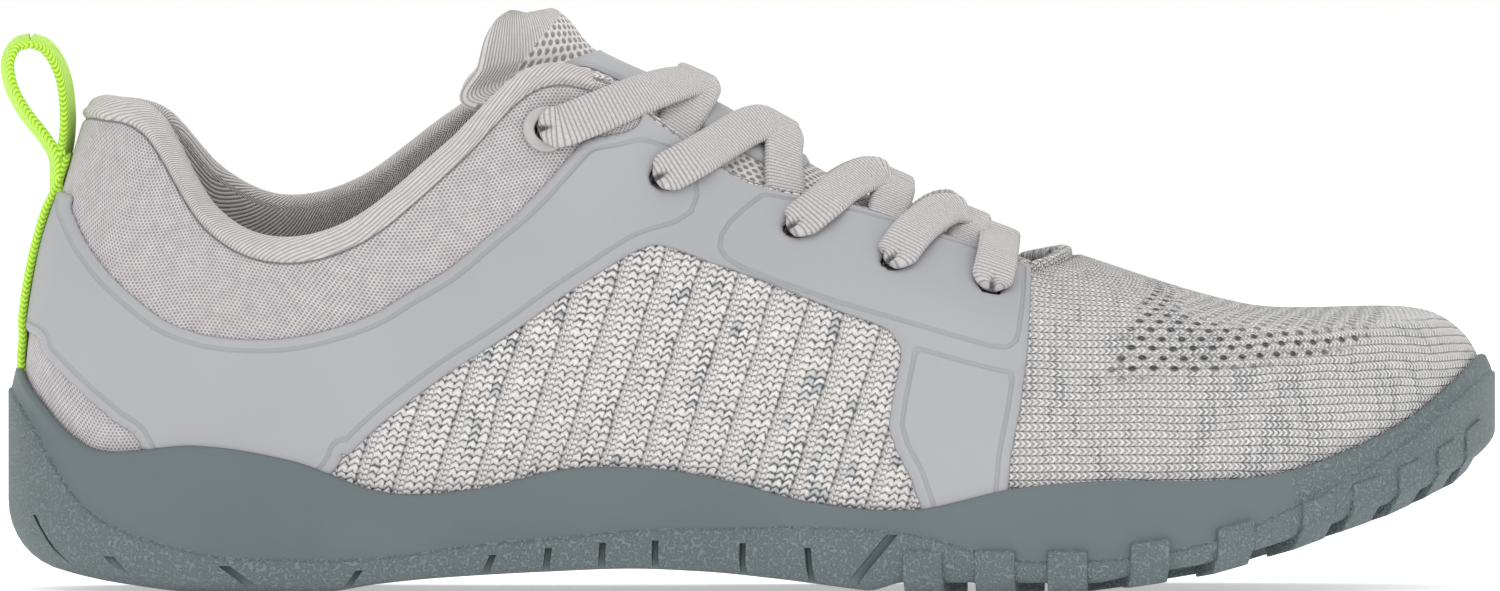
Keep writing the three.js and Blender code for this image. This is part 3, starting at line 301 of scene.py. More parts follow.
def build(name, points, faces, cloth=None, materials=(), zones=None, marks=None):
    """A mesh piece from points in millimetres. cloth holds the pattern's coordinates at each
    point, marks any other values, and zones the material of each face."""
    mesh = bpy.data.meshes.new(name)
    points = np.asarray(points, float).reshape(-1, 3)
    mesh.from_pydata(place(points).tolist(), [], np.asarray(faces).tolist())
    for label, values in {"cloth": cloth, **(marks or {})}.items():
        if values is not None:
            attribute = mesh.attributes.new(label, "FLOAT_VECTOR", "POINT")
            attribute.data.foreach_set("vector", np.asarray(values, np.float32).reshape(-1))
    for material in materials:
        mesh.materials.append(material)
    if zones is not None:
        mesh.polygons.foreach_set("material_index", np.asarray(zones, np.int32))
    mesh.polygons.foreach_set("use_smooth", [True] * len(mesh.polygons))
    mesh.validate()
    piece = bpy.data.objects.new(name, mesh)
    bpy.context.scene.collection.objects.link(piece)
    return piece


def grid_faces(lines, columns, wrapped=False, first=0):
    """Squares over lines of points; wrapped joins the last line to the first"""
    ends = lines if wrapped else lines - 1
    line, column = np.meshgrid(np.arange(ends), np.arange(columns - 1), indexing="ij")
    after = (line + 1) % lines
    squares = np.stack([line * columns + column, after * columns + column,
                        after * columns + column + 1, line * columns + column + 1], -1)
    return squares.reshape(-1, 4) + first


class Value:
    """A socket in a material's nodes, used as a number in Python expressions"""

    def __init__(self, surface, socket):
        self.surface = surface
        self.socket = socket

    def math(self, operation, *others):
        inputs = dict(enumerate([self, *others]))
        return self.surface.node("ShaderNodeMath", {"operation": operation}, inputs)

    def __add__(self, other):
        return self.math("ADD", other)

    def __sub__(self, other):
        return self.math("SUBTRACT", other)

    def __mul__(self, other):
        return self.math("MULTIPLY", other)

    def __truediv__(self, other):
        return self.math("DIVIDE", other)

    def __rsub__(self, other):
        return self.surface.node("ShaderNodeMath", {"operation": "SUBTRACT"}, {0: other, 1: self})

    __radd__ = __add__
    __rmul__ = __mul__

    def __abs__(self):
        return self.math("ABSOLUTE")

    def fract(self):
        return self.math("FRACT")

    def floor(self):
        return self.math("FLOOR")

    def sine(self):
        return self.math("SINE")

    def least(self, other):
        return self.math("MINIMUM", other)

    def most(self, other):
        return self.math("MAXIMUM", other)

    def step(self, low, high):
        """0 below low, 1 above high, and smooth between them"""
        return self.surface.node(
            "ShaderNodeMapRange", {"interpolation_type": "SMOOTHSTEP"},
            {"Value": self, "From Min": low, "From Max": high})


class Surface:
    """One material, and the one method that adds its nodes"""

    def __init__(self, name, **constants):
        self.material = bpy.data.materials.new(name)
        self.material.use_nodes = True
        self.tree = self.material.node_tree
        self.shader = next(n for n in self.tree.nodes if n.type == "BSDF_PRINCIPLED")
        for socket, value in constants.items():
            self.shader.inputs[socket.replace("_", " ")].default_value = value

    def node(self, kind, settings=None, inputs=None, output=0):
        made = self.tree.nodes.new(kind)
        for name, value in (settings or {}).items():
            setattr(made, name, value)
        for name, value in (inputs or {}).items():
            if isinstance(value, Value):
                self.tree.links.new(value.socket, made.inputs[name])
            else:
                made.inputs[name].default_value = value
        return Value(self, made.outputs[output])

    def attribute(self, name):
        vector = self.node("ShaderNodeAttribute", {"attribute_name": name}, output="Vector")
        return [self.node("ShaderNodeSeparateXYZ", {}, {0: vector}, axis) for axis in range(3)]

    def vector(self, x, y, z=0.0):
        return self.node("ShaderNodeCombineXYZ", {}, {0: x, 1: y, 2: z})

    def noise(self, vector, scale, detail=2.0):
        inputs = {"Vector": vector, "Scale": scale, "Detail": detail}
        return self.node("ShaderNodeTexNoise", {}, inputs, "Fac")

    def speck(self, vector):
        return self.node("ShaderNodeTexWhiteNoise", {}, {"Vector": vector}, "Value")

    def mix(self, factor, first, second):
        return self.node("ShaderNodeMix", {"data_type": "RGBA"}, {0: factor, 6: first, 7: second}, 2)

    def bump(self, height, distance, strength=1.0):
        inputs = {"Height": height, "Distance": distance, "Strength": strength}
        return self.node("ShaderNodeBump", {}, inputs)

    def finish(self, color=None, roughness=None, normal=None):
        for socket, value in (("Base Color", color), ("Roughness", roughness), ("Normal", normal)):
            if value is not None:
                self.tree.links.new(value.socket, self.shader.inputs[socket])
        return self.material


def ink(red, green, blue):
    """A colour given as on a screen, 0 to 255, in the linear values that nodes take"""
    channels = [c / 255 for c in (red, green, blue)]
    return (*[c / 12.92 if c <= 0.04045 else ((c + 0.055) / 1.055) ** 2.4 for c in channels], 1.0)


ROLL_BAND = 2.3  # height of the lycra band on the outer face
SUNK = 3.5  # the wall starts this far below the rubber's edge
COLUMNS_PER_ROW = 12
WALL_COLUMNS = 56
MID_COLUMN = 25  # the column at mid height
BAND_COLUMNS = 6
ROLL_ANGLES = np.radians(np.linspace(0, 180, 11)[1:-1])

places = np.arange(ROWS * COLUMNS_PER_ROW) / COLUMNS_PER_ROW
lengths = rib_length(places)
rims = rim_share(places)
band = ROLL_BAND / lengths
low_levels = (rims - SUNK / lengths)[:, None]
wall_levels = rims[:, None] + (1 - band - rims)[:, None] * np.linspace(0, 1, WALL_COLUMNS)[None, :]
band_levels = 1 - band[:, None] * np.linspace(1, 0, BAND_COLUMNS + 1)[None, 1:]
outer_levels = np.concatenate([low_levels, wall_levels, band_levels], 1)
outer, outer_normals = skin(places, outer_levels)
inner_levels = np.linspace(1, 0.0, 34)[None, :] * np.ones((len(places), 1))
inner, inner_normals = skin(places, inner_levels)
inner = inner - inner_normals * wall_at(places, inner_levels)[..., None]

# The roll is a half circle from the outer face to the inner one
edge = unit(np.roll(outer[:, -1], -1, 0) - np.roll(outer[:, -1], 1, 0))
rise = unit(np.cross(outer_normals[:, -1], edge))
middle = (outer[:, -1] + inner[:, 0]) / 2
radius = np.linalg.norm(outer[:, -1] - inner[:, 0], axis=-1) / 2
roll = np.stack([middle + radius[:, None] * (outer_normals[:, -1] * math.cos(a) + rise * math.sin(a))
                 for a in ROLL_ANGLES], 1)

# The collar's lycra band bulges, and a seam is drawn in under it
below = (1 - outer_levels) * lengths[:, None]
row_from_heel = np.minimum(places, ROWS - places)
collar = (1 - smooth((row_from_heel - 7.4) / 0.8))[:, None]
bulge = 0.55 * np.sin(np.clip(below / ROLL_BAND, 0, 1) * math.pi)
bulge = bulge - 0.5 * np.exp(-((below - ROLL_BAND) / 0.45) ** 2)
throat = (1 - smooth((np.abs(places - ROWS / 2) - 6.4) / 0.5))[:, None]
outer = outer + outer_normals * (bulge * np.maximum(collar, throat * 1.5))[..., None]

# The front of the throat ends in a lip of knit, a little higher on the inner side
LIP = 3.6  # height of the lip
lip_rise = rise[:, None] * (throat * np.where(places > ROWS / 2, 1.3, -0.2)[:, None])[..., None]
outer = outer + lip_rise * smooth(1 - below / LIP)[..., None]
roll = roll + lip_rise
inner = inner + lip_rise * smooth(1 - (1 - inner_levels) * lengths[:, None] / LIP)[..., None]

# The fabrics' coordinates: round the shoe at mid height, and up each rib from the rubber's edge
mid_height = outer[:, MID_COLUMN]
girth = np.linalg.norm(np.diff(mid_height, axis=0, append=mid_height[:1]), axis=-1)
around = np.concatenate([[0], np.cumsum(girth)[:-1]])
upper_points = np.concatenate([outer, roll, inner], 1)
lines, columns = upper_points.shape[:2]
height = np.concatenate([(outer_levels - rims[:, None]) * lengths[:, None],
                         (1 - rims)[:, None] * lengths[:, None] + radius[:, None] * ROLL_ANGLES[None, :],
                         (2 - rims[:, None] - inner_levels) * lengths[:, None] + 6], 1)
upper_cloth = np.stack([np.broadcast_to(around[:, None], height.shape), height,
                        np.broadcast_to(lengths[:, None] * (1 - rims[:, None]), height.shape) - height], -1)

# Lace holes: row on the outer side, and how far below the throat's edge they are
HOLES = [(7.08, 10.5), (8.73, 14.0), (10.35, 9.75), (11.20, 15.0), (12.20, 16.8)]
HOLE_RADIUS = 2.1
RING_RADIUS = 2.75


def hole_axes():
    found = []
    for pair, (row, down) in enumerate(HOLES):
        for at in (row, ROWS - row):
            spot, normal = skin([at], 1 - down / rib_length(at)[:, None])
            found.append((pair, at, spot[0, 0], normal[0, 0]))
    return found


def from_holes(points):
    """How far each point is outside the nearest lace hole, below 0 inside it"""
    nearest = np.full(len(points), 99.0)
    for pair, _, spot, normal in hole_axes():
        offset = points - spot
        along = offset @ normal
        radial = np.linalg.norm(offset - along[:, None] * normal, axis=-1)
        radial = radial - (RING_RADIUS if pair == 0 else HOLE_RADIUS)
        nearest = np.minimum(nearest, np.where(np.abs(along) < 9, radial, 99))
    return nearest


def trim(points, faces, keep, extras, zones=None):
    """Cuts a mesh where keep passes 0, and leaves what lies above it. extras follow the points."""
    faces = np.asarray(faces)
    if faces.shape[1] == 4:
        faces = np.concatenate([faces[:, [0, 1, 2]], faces[:, [0, 2, 3]]])
        zones = None if zones is None else np.concatenate([zones, zones])
    inside = keep > 0
    count = inside[faces].sum(1)
    whole = faces[count == 3]
    kept_zones = [] if zones is None else [zones[count == 3]]
    data = np.concatenate([points, *extras, keep[:, None]], 1)
    new_faces, new_zones, born = [whole], [], []
    known = {}

    def between(a, b):
        key = (min(a, b), max(a, b))
        if key not in known:
            part = keep[a] / (keep[a] - keep[b])
            known[key] = len(data) + len(born)
            born.append(data[a] + (data[b] - data[a]) * part)
        return known[key]

    cut = []
    for index in np.nonzero((count > 0) & (count < 3))[0]:
        a, b, c = faces[index]
        while not (inside[a] and not inside[c]):
            a, b, c = b, c, a
        if inside[b]:
            cut += [(a, b, between(b, c)), (a, between(b, c), between(a, c))]
            new_zones += [index, index]
        else:
            cut.append((a, between(a, b), between(a, c)))
            new_zones.append(index)
    if cut:
        new_faces.append(np.array(cut))
        data = np.concatenate([data, np.array(born)]) if born else data
        if zones is not None:
            kept_zones.append(zones[new_zones])
    joined = np.concatenate(new_faces)
    used, joined = np.unique(joined, return_inverse=True)
    data = data[used]
    sizes = [3, *[extra.shape[1] for extra in extras]]
    split = np.split(data[:, :-1], np.cumsum(sizes)[:-1], 1)
    return split[0], joined.reshape(-1, 3), split[1:], None if zones is None else np.concatenate(kept_zones)


# Which fabric shows: the borders between the outer fabrics lie under the film cage
KNIT_FROM = [[50, 0], [56, 30], [80, 47], [100, 63], [110, 71], [120, 76], [122, 120]]
TOE_FROM = 178
LIP_COLUMNS = 8  # the throat's lip turns in this far
faces = grid_faces(lines, columns, wrapped=True)
centre = upper_points.reshape(-1, 3)[faces].mean(1)
line_of = faces[:, 0] // columns
column_of = faces[:, 0] % columns
heel_line = np.interp(centre[:, 0], *np.array(KNIT_FROM).T)
zones = np.where(centre[:, 2] > heel_line, 0, 1)
zones = np.where(centre[:, 0] > TOE_FROM, 2, zones)
zones = np.where((column_of >= WALL_COLUMNS) & (collar[line_of, 0] > 0.5), 3, zones)
zones = np.where(column_of >= outer.shape[1] - 1, 3, zones)
in_lip = (column_of < outer.shape[1] + LIP_COLUMNS) & (collar[line_of, 0] <= 0.5)
zones = np.where(in_lip & (zones == 3), 2, zones)

flat_points = upper_points.reshape(-1, 3)

HEEL_COURSE = 0.6
HEEL_PINHOLES = 0.82
heel_fabric = Surface("heel_fabric", Roughness=0.86, Sheen_Weight=0.25, Sheen_Roughness=0.5)
u, v, below_edge = heel_fabric.attribute("cloth")
course = v / HEEL_COURSE
dot_u = (u / HEEL_PINHOLES + course.floor() * 0.5).fract() - 0.5
dot_v = course.fract() - 0.5
dot = 1 - (dot_u * dot_u * 1.4 + dot_v * dot_v * 0.9).step(0.03, 0.2)
patchy = heel_fabric.noise(heel_fabric.vector(u, v), 0.35, 3.0)
thread = heel_fabric.noise(heel_fabric.vector(u * 0.4, v * 3.0), 1.1, 2.0)
base = heel_fabric.mix(patchy.step(0.3, 0.7), ink(184, 178, 180), ink(198, 193, 194))
base = heel_fabric.mix(thread.step(0.35, 0.75) * 0.35, base, ink(222, 219, 218))
base = heel_fabric.mix(dot * 0.6, base, ink(92, 86, 91))
seam = 1 - abs(below_edge - ROLL_BAND - 0.2).step(0.12, 0.34)
base = heel_fabric.mix(seam * 0.65, base, ink(92, 86, 90))
relief = (1 - dot) * 0.8 + thread * 0.35 - seam
heel_material = heel_fabric.finish(base, None, heel_fabric.bump(relief, 0.00022))


def stitches(surface, across, along, wale, course, slant=0.55, line=0.0):
    """Jersey stitches: stacked V loops in wales. Gives the yarn's height, and the pinholes and
    the dark line between two wales."""
    column = across / wale
    fold = abs(column.fract() - 0.5) * 2
    climb = along / course + fold * slant
    loop = (climb.fract() * math.pi).sine()
    furrow = fold.step(0.7, 1.0)
    pinhole = furrow * (1 - loop.step(0.2, 0.9))
    crease = (1 - fold.step(0.0, 0.22)) * (1 - loop.step(0.1, 0.6))
    yarn = loop * (1 - furrow * 0.55)
    stitch = surface.speck(surface.vector(column.floor(), climb.floor()))
    return yarn, pinhole.most(crease * 0.5).most(fold.step(0.8, 1.0) * line), stitch


def runs(surface, column, along, spread):
    """Runs of darker yarn: each wale has its own, gathered in loose clouds over the cloth"""
    strand = surface.noise(surface.vector(column.floor() * 7.31, along / spread), 1.0, 1.0)
    cloud = surface.noise(surface.vector(column * 0.11, along * 0.05), 1.0, 2.0)
    return (strand * 0.6 + cloud * 0.4).step(0.5, 0.6)


def yarn_colors(surface, yarn, dark_run, stitch, fibre, gaps, cracked, blue):
    """Off-white yarn and blue-grey yarn behind it, with painted shade: the cracks and gaps between the
    stitches are painted near black
    """
    base = surface.mix(fibre.step(0.3, 0.75), ink(210, 207, 204), ink(236, 233, 230))
    base = surface.mix(stitch * 0.4, base, ink(184, 182, 181))
    whole = dark_run * stitch.step(0.62, 0.72) * blue
    base = surface.mix(whole, base, ink(150, 159, 165))
    behind = dark_run * (1 - yarn.step(0.35, 0.85))
    base = surface.mix(behind * 0.75, base, ink(112, 121, 128))
    # The low places between the stitches, painted dark as shade
    painted_crack_shade = 1 - yarn.step(0.0, 0.45)
    return surface.mix((painted_crack_shade * cracked).most(gaps), base, ink(50, 50, 53))


LEAN = math.radians(73)  # the window's ribs lean back
RIB_PITCH = 7.1
window_knit = Surface("window_knit", Roughness=0.88, Sheen_Weight=0.3, Sheen_Roughness=0.45)
x, _, z = window_knit.attribute("spot")
across = x * math.sin(LEAN) - z * math.cos(LEAN)
along = x * math.cos(LEAN) + z * math.sin(LEAN)
wobble = window_knit.noise(window_knit.vector(x, z), 0.09, 2.0) - 0.5
rib = ((across + wobble * 1.2) / RIB_PITCH).fract()
raised = rib.step(0.02, 0.1) * (1 - rib.step(0.24, 0.32))
# Where each rib's edge lies in shadow: painted shade, mixed in below
painted_rib_shadow = (1 - rib.step(0.0, 0.06)) + rib.step(0.94, 1.0)
broad = across + wobble * 1.2
loose = window_knit.noise(window_knit.vector(x, z), 0.55, 2.0) - 0.5
yarn, holes, stitch = stitches(
    window_knit, broad + loose * 0.7, along - across * 0.25 + loose * 1.3, RIB_PITCH / 4, 1.42, 0.5)
fine_yarn, fine_holes, _ = stitches(window_knit, broad, along, RIB_PITCH / 7, 1.05, 0.3)
loops = raised * fine_yarn + (1 - raised) * yarn
gaps = (raised * fine_holes * 0.5 + (1 - raised) * holes).least(1.0)
fibre = window_knit.noise(window_knit.vector(across * 2.0, along * 5.0), 0.9, 2.0)
dark_run = runs(window_knit, broad / (RIB_PITCH / 4), along, 7.0) * (1 - raised * 0.9)
base = yarn_colors(window_knit, loops, dark_run, stitch, fibre, gaps, 0.85, 0.45)
# Painted light: the raised column is a little lighter as a painted highlight, then each rib's edge is
# darker as painted shadow
base = window_knit.mix(raised * 0.1, base, ink(236, 232, 228))
base = window_knit.mix((painted_rib_shadow * 0.4).least(1.0), base, ink(84, 83, 85))
relief = loops * 0.55 + raised * 0.7 - abs(rib - 0.62) * 0.9 - gaps * 0.5
window_material = window_knit.finish(base, None, window_knit.bump(relief, 0.0007))

TOE_WALE = 1.53
TOE_COURSE = 1.15
EYELET_ROW = 2.2
EYELET_PITCH = 4.05
toe_knit = Surface("toe_knit", Roughness=0.88, Sheen_Weight=0.3, Sheen_Roughness=0.45)
ahead, above, _ = toe_knit.attribute("wales")
_, y, _ = toe_knit.attribute("spot")
pointelle, level, _ = toe_knit.attribute("vamp")
wave = (toe_knit.noise(toe_knit.vector(ahead, y, above), 0.06, 2.0) - 0.5) * 1.6
loose = toe_knit.noise(toe_knit.vector(ahead, y, above), 0.7, 2.0) - 0.5
fibre = toe_knit.noise(toe_knit.vector(ahead * 4.0, y * 6.0, above * 6.0), 0.8, 2.0)
# The wales run ahead: one above the other up the side, and side by side on top of the vamp, where
# the stitches are less deep and the knit lighter: partly its own yarn, partly painted light on the
# up-facing top
looks = []
for over, deep, pale_yarn_and_top_light in ((above, 1.0, 0.14), (y, 0.5, 0.4)):
    yarn, holes, stitch = stitches(
        toe_knit, over + wave, ahead + loose * 0.5, TOE_WALE, TOE_COURSE, 0.7, 0.55 * deep)
    dark_run = runs(toe_knit, ahead / 1.1, over, 9.0)
    open_row = (over + wave) / EYELET_ROW
    shifted = ahead / EYELET_PITCH + open_row.floor() * 0.5
    pair = shifted.fract() - 0.5
    rung = open_row.fract() - 0.5
    eyelet = (1 - (pair * pair * 8.0 + rung * rung * 4.5).step(0.12, 0.45)) * pointelle
    arch = (1 - abs(rung + 0.28 - abs(pair) * 1.1).step(0.05, 0.16)) * pointelle
    bead = ((abs(pair) - 0.25) * 4.0).fract() * pointelle
    gaps = holes * (1.0 - pointelle * 0.5) * deep
    base = yarn_colors(toe_knit, yarn, dark_run * deep, stitch, fibre, gaps, 0.36 * deep, 0.25)
    # Lightens the yarn: a little up the side, more on the top as painted light
    base = toe_knit.mix((1 - holes) * pale_yarn_and_top_light, base, ink(246, 246, 246))
    base = toe_knit.mix(arch * 0.5 * deep, base, ink(96, 96, 98))
    base = toe_knit.mix(eyelet * deep, base, ink(52, 51, 52))
    looks.append((base, yarn + bead * 0.4 - holes * 0.5 - arch * 0.5 - eyelet * 1.6))
(low_base, low_relief), (top_base, top_relief) = looks
# The up-facing knit takes the lighter, less shaded top copy: painted light
base = toe_knit.mix(level, low_base, top_base)
relief = low_relief * (1 - level) + top_relief * level
toe_material = toe_knit.finish(base, None, toe_knit.bump(relief, 0.00055))

LYCRA_PITCH = 0.62
LYCRA_LEAN = (0.62, 0.78)  # the ridges run slantwise up the collar
lycra = Surface("ribbed_lycra", Roughness=0.6, Sheen_Weight=0.35, Sheen_Roughness=0.35)
u, v, _ = lycra.attribute("cloth")
sway = (lycra.noise(lycra.vector(u, v), 0.05, 2.0) - 0.5) * 1.6
ridge = abs(((u * LYCRA_LEAN[0] - v * LYCRA_LEAN[1] + sway) / LYCRA_PITCH * math.pi).sine())
tone = lycra.noise(lycra.vector(u, v), 0.4, 3.0)
base = lycra.mix(ridge.step(0.0, 0.8), ink(157, 152, 150), ink(203, 199, 197))
base = lycra.mix(tone.step(0.4, 0.75) * 0.3, base, ink(166, 162, 161))
lycra_material = lycra.finish(base, None, lycra.bump(ridge + tone * 0.3, 0.0002))

# Where the vamp's eyelet stitches are, and how far its knit faces up: the up-facing knit takes the top's
# lighter copy, as painted light
up_facing = outer_normals[..., 2]
facing = np.concatenate([up_facing, np.repeat(up_facing[:, -1:], columns - up_facing.shape[1], 1)], 1)
x, y, z = flat_points.T
level = smooth((facing.reshape(-1) - np.interp(x, [210, 240], [0.96, 0.86])) / 0.06)
open_from = np.interp(x, [205, 225, 245, 252, 259], [39, 40.5, 43, 45, 50])
open_toe = (smooth((x - 204 - (z - 40) * 0.5) / 3) * (1 - smooth((x - 250 - (z - 44) * 0.9) / 3))
            * smooth((z - open_from) / 1.5))
vamp_marks = np.stack([open_toe, level, np.zeros(len(flat_points))], 1)

# Coordinates of the toe knit: ahead along each level of the wall, and up over it. Behind the toe
# they climb with the wall, and round the front of the toe the wales run level.
KNIT_ORIGIN = 200
steps = np.linalg.norm(np.diff(outer, axis=0, append=outer[:1]), axis=-1)
arcs = np.cumsum(steps, 0) - steps
ahead = upper_points[..., 0].copy()
for column in range(outer.shape[1]):
    for rows, sign in ((slice(0, lines // 2 + 1), 1), (slice(lines // 2, lines), -1)):
        arc = arcs[rows, column]
        origin = np.interp(KNIT_ORIGIN, outer[rows, column, 0][::sign], arc[::sign])
        ahead[rows, column] = KNIT_ORIGIN + sign * (arc - origin)
level_up = z.reshape(height.shape)
climbed = height + outer[:, 1:2, 2]
over = level_up + (climbed - level_up) * 0.4 * (1 - smooth((upper_points[..., 0] - 225) / 30))
wales = np.stack([ahead, over, np.zeros(over.shape)], -1).reshape(-1, 3)
upper_points, faces, extras, zones = trim(
    flat_points, faces, from_holes(flat_points), [upper_cloth.reshape(-1, 3), vamp_marks, wales], zones)
upper = build("upper_shell", upper_points, faces, extras[0],
              [heel_material, window_material, toe_material, lycra_material], zones,
              {"spot": upper_points, "vamp": extras[1], "wales": extras[2]})
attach(upper, "root")
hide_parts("upper")

# The cage: a thin matte film welded over the upper, from the back of the heel round the side
# window and up to the throat. Its edges melt into the fabric, and lines are embossed along them.
FILM_LIFT = 0.85
FILM_EDGE = 0.7  # width over which the film's edge comes down to the fabric
FILM_SUNK = 0.12  # its edge is pressed this far into the fabric
FILM_TOP = 0.994  # share of each rib at which the film ends under the throat's edge
EMBOSS_IN = 2.2  # embossed lines run this far inside the film's edge
EMBOSS_WINDOW = 2.5  # and this far outside the window
CAGE_ROWS = 14  # rows of the ring that the cage covers on each side of the heel
CAGE_TOP = [
    [-0.060, 0.770], [0.036, 0.755], [0.045, 0.718], [0.055, 0.661], [0.070, 0.604],
    [0.086, 0.560], [0.106, 0.516], [0.126, 0.492], [0.146, 0.480], [0.172, 0.476],
    [0.197, 0.482], [0.222, 0.499], [0.248, 0.526], [0.272, 0.567], [0.297, 0.609],
    [0.322, 0.668], [0.348, 0.729], [0.368, 0.790], [0.381, 0.832], [0.391, 0.854],
    [0.421, 0.875], [0.428, 0.940],
]
CAGE_FRONT = [
    [0.686, 0.940], [0.686, 0.602], [0.682, 0.446], [0.677, 0.345], [0.671, 0.260],
    [0.666, 0.100],
]
CAGE_REAR = [
    [0.110, 0.100], [0.093, 0.273], [0.073, 0.325], [0.050, 0.382], [0.028, 0.444],
    [0.015, 0.488], [-0.060, 0.520],
]
WINDOW = [
    [0.222, 0.080], [0.226, 0.249], [0.232, 0.262], [0.256, 0.325], [0.296, 0.410],
    [0.336, 0.482], [0.375, 0.560], [0.409, 0.621], [0.423, 0.643], [0.435, 0.653],
    [0.448, 0.645], [0.479, 0.613], [0.509, 0.583], [0.555, 0.531], [0.586, 0.499],
    [0.595, 0.474], [0.598, 0.450], [0.595, 0.400], [0.590, 0.313], [0.583, 0.080],
]
# Embossed panels, in millimetres along and up: behind the throat, under the lace, the front leg
BEHIND_THROAT = [[-30, -40], [-30, 120], [100, 120], [111, 92], [114, 87.5], [119, 84.3], [124, 82.6],
                 [127, 80.3], [128.8, 77], [129.3, 73.5], [128.2, 70.6], [125.8, 69], [122.4, 67.8],
                 [118, 66], [112, 62], [110, -40]]
UNDER_LACE = [[141.5, 73.6], [138, 71], [135.4, 68.6], [133.9, 66.2], [133.6, 64], [134.6, 62.2],
              [137.5, 60.4], [143.6, 57.9], [156.5, 53.6], [169.5, 49.9], [178, 47.4], [184.5, 45.6],
              [187.2, 45.4], [188.8, 46.4], [189.3, 48.4], [190.2, 55], [191.5, 80], [150, 95]]
FRONT_LEG = [[150, -40], [163, 47.6], [166, 46.6], [178, 43.2], [184.5, 41.5], [187, 41], [200, 39],
             [200, -40]]


def through(keys, steps, closed=False):
    """A smooth curve through key points, with the same number of steps between each two"""
    keys = np.asarray(keys, float)
    count = len(keys)
    parts = np.linspace(0, 1, steps, endpoint=False).reshape(-1, *[1] * (keys.ndim - 1))
    found = []
    for k in range(count if closed else count - 1):
        if closed:
            a, b, c, d = (keys[(k + step) % count] for step in (-1, 0, 1, 2))
        else:
            b, c = keys[k], keys[k + 1]
            a = keys[k - 1] if k else 2 * b - c
            d = keys[k + 2] if k + 2 < count else 2 * c - b
        found.append(0.5 * (2 * b + (c - a) * parts + (2 * a - 5 * b + 4 * c - d) * parts**2
                            + (3 * b - 3 * c + d - a) * parts**3))
    if not closed:
        found.append(keys[-1:])
    return np.concatenate(found)


def from_side(table):
    return np.array(table) * [LENGTH, INSTEP_HEIGHT]


def inside_of(points, corners):
    """Distance in from a closed outline seen from the side, below 0 outside it"""
    nearest = np.full(len(points), 1e9)
    crossings = np.zeros(len(points), int)
    for a, b in zip(corners, np.roll(corners, -1, 0)):
        span = b - a
        part = np.clip((points - a) @ span / max(span @ span, 1e-9), 0, 1)
        nearest = np.minimum(nearest, np.linalg.norm(points - a - part[:, None] * span, axis=1))
        if a[1] != b[1]:
            reach = a[0] + (points[:, 1] - a[1]) / (b[1] - a[1]) * span[0]
            crossings += ((a[1] > points[:, 1]) != (b[1] > points[:, 1])) & (points[:, 0] < reach)
    return np.where(crossings % 2 == 1, nearest, -nearest)


def soft_least(first, second, reach=1.6):
    """The lesser of two distances, with the corner between them rounded"""
    blend = np.maximum(reach - np.abs(first - second), 0) / reach
    return np.minimum(first, second) - blend * blend * reach / 4


places = np.arange(-CAGE_ROWS * 20, CAGE_ROWS * 20 + 1) / 20
lengths = rib_length(places)
first = rim_share(places) - 2 / lengths
levels = first[:, None] + (FILM_TOP + 0.002 - first)[:, None] * np.linspace(0, 1, 74)[None, :]
grid, normals = skin(places, levels)
side = grid.reshape(-1, 3)[:, [0, 2]]
outer_edge = np.concatenate([through(from_side(CAGE_TOP), 5), from_side(CAGE_FRONT),
                             through(from_side(CAGE_REAR), 5)])
in_cage = inside_of(side, outer_edge)
in_window = inside_of(side, through(from_side(WINDOW), 5, closed=True))
to_top = ((FILM_TOP - levels) * lengths[:, None]).reshape(-1)
keep = np.minimum(np.minimum(in_cage, -in_window), to_top)
keep = np.minimum(keep, from_holes(grid.reshape(-1, 3)))
lift = (FILM_LIFT + FILM_SUNK) * np.sqrt(1 - (1 - np.clip(keep / FILM_EDGE, 0, 1)) ** 2) - FILM_SUNK
film_points = grid.reshape(-1, 3) + normals.reshape(-1, 3) * lift[:, None]
panels = soft_least(soft_least(in_cage, to_top) - EMBOSS_IN, -in_window - EMBOSS_WINDOW)
panels = np.maximum.reduce([
    soft_least(panels, inside_of(side, np.array(BEHIND_THROAT, float))),
    soft_least(to_top - EMBOSS_IN, inside_of(side, np.array(UNDER_LACE, float))),
    soft_least(panels, inside_of(side, np.array(FRONT_LEG, float))),
])
film_marks = np.stack([keep, panels, in_cage], 1)
faces = grid_faces(*grid.shape[:2])
film_points, faces, extras, _ = trim(film_points, faces, keep, [film_marks])

film = Surface("welded_film", Roughness=0.52, Specular_IOR_Level=0.4)
edge_in, panel, _ = film.attribute("film")
shaded_groove = 1 - abs(panel).step(0.0, 0.6)
rim = 1 - edge_in.step(0.02, 0.32)
spot = film.node("ShaderNodeTexCoord", {}, {}, "Object")
grain = film.noise(spot, 900.0, 3.0)
cloudy = film.noise(spot, 22.0, 2.0)
base = film.mix(cloudy.step(0.3, 0.7), ink(158, 159, 161), ink(164, 165, 167))
# The embossed lines are painted darker: painted shade in their grooves
base = film.mix(shaded_groove * 0.16, base, ink(112, 113, 117))
# A dark line along the film's edge: painted shadow where the edge comes down to the fabric
base = film.mix(rim * 0.5, base, ink(96, 97, 101))
film_material = film.finish(base, 0.46 + grain * 0.14, film.bump(grain * 0.06 - shaded_groove, 0.0003))
cage = build("cage_film", film_points, faces, None, [film_material], marks={"film": extras[0]})
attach(cage, "root")
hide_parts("cage")

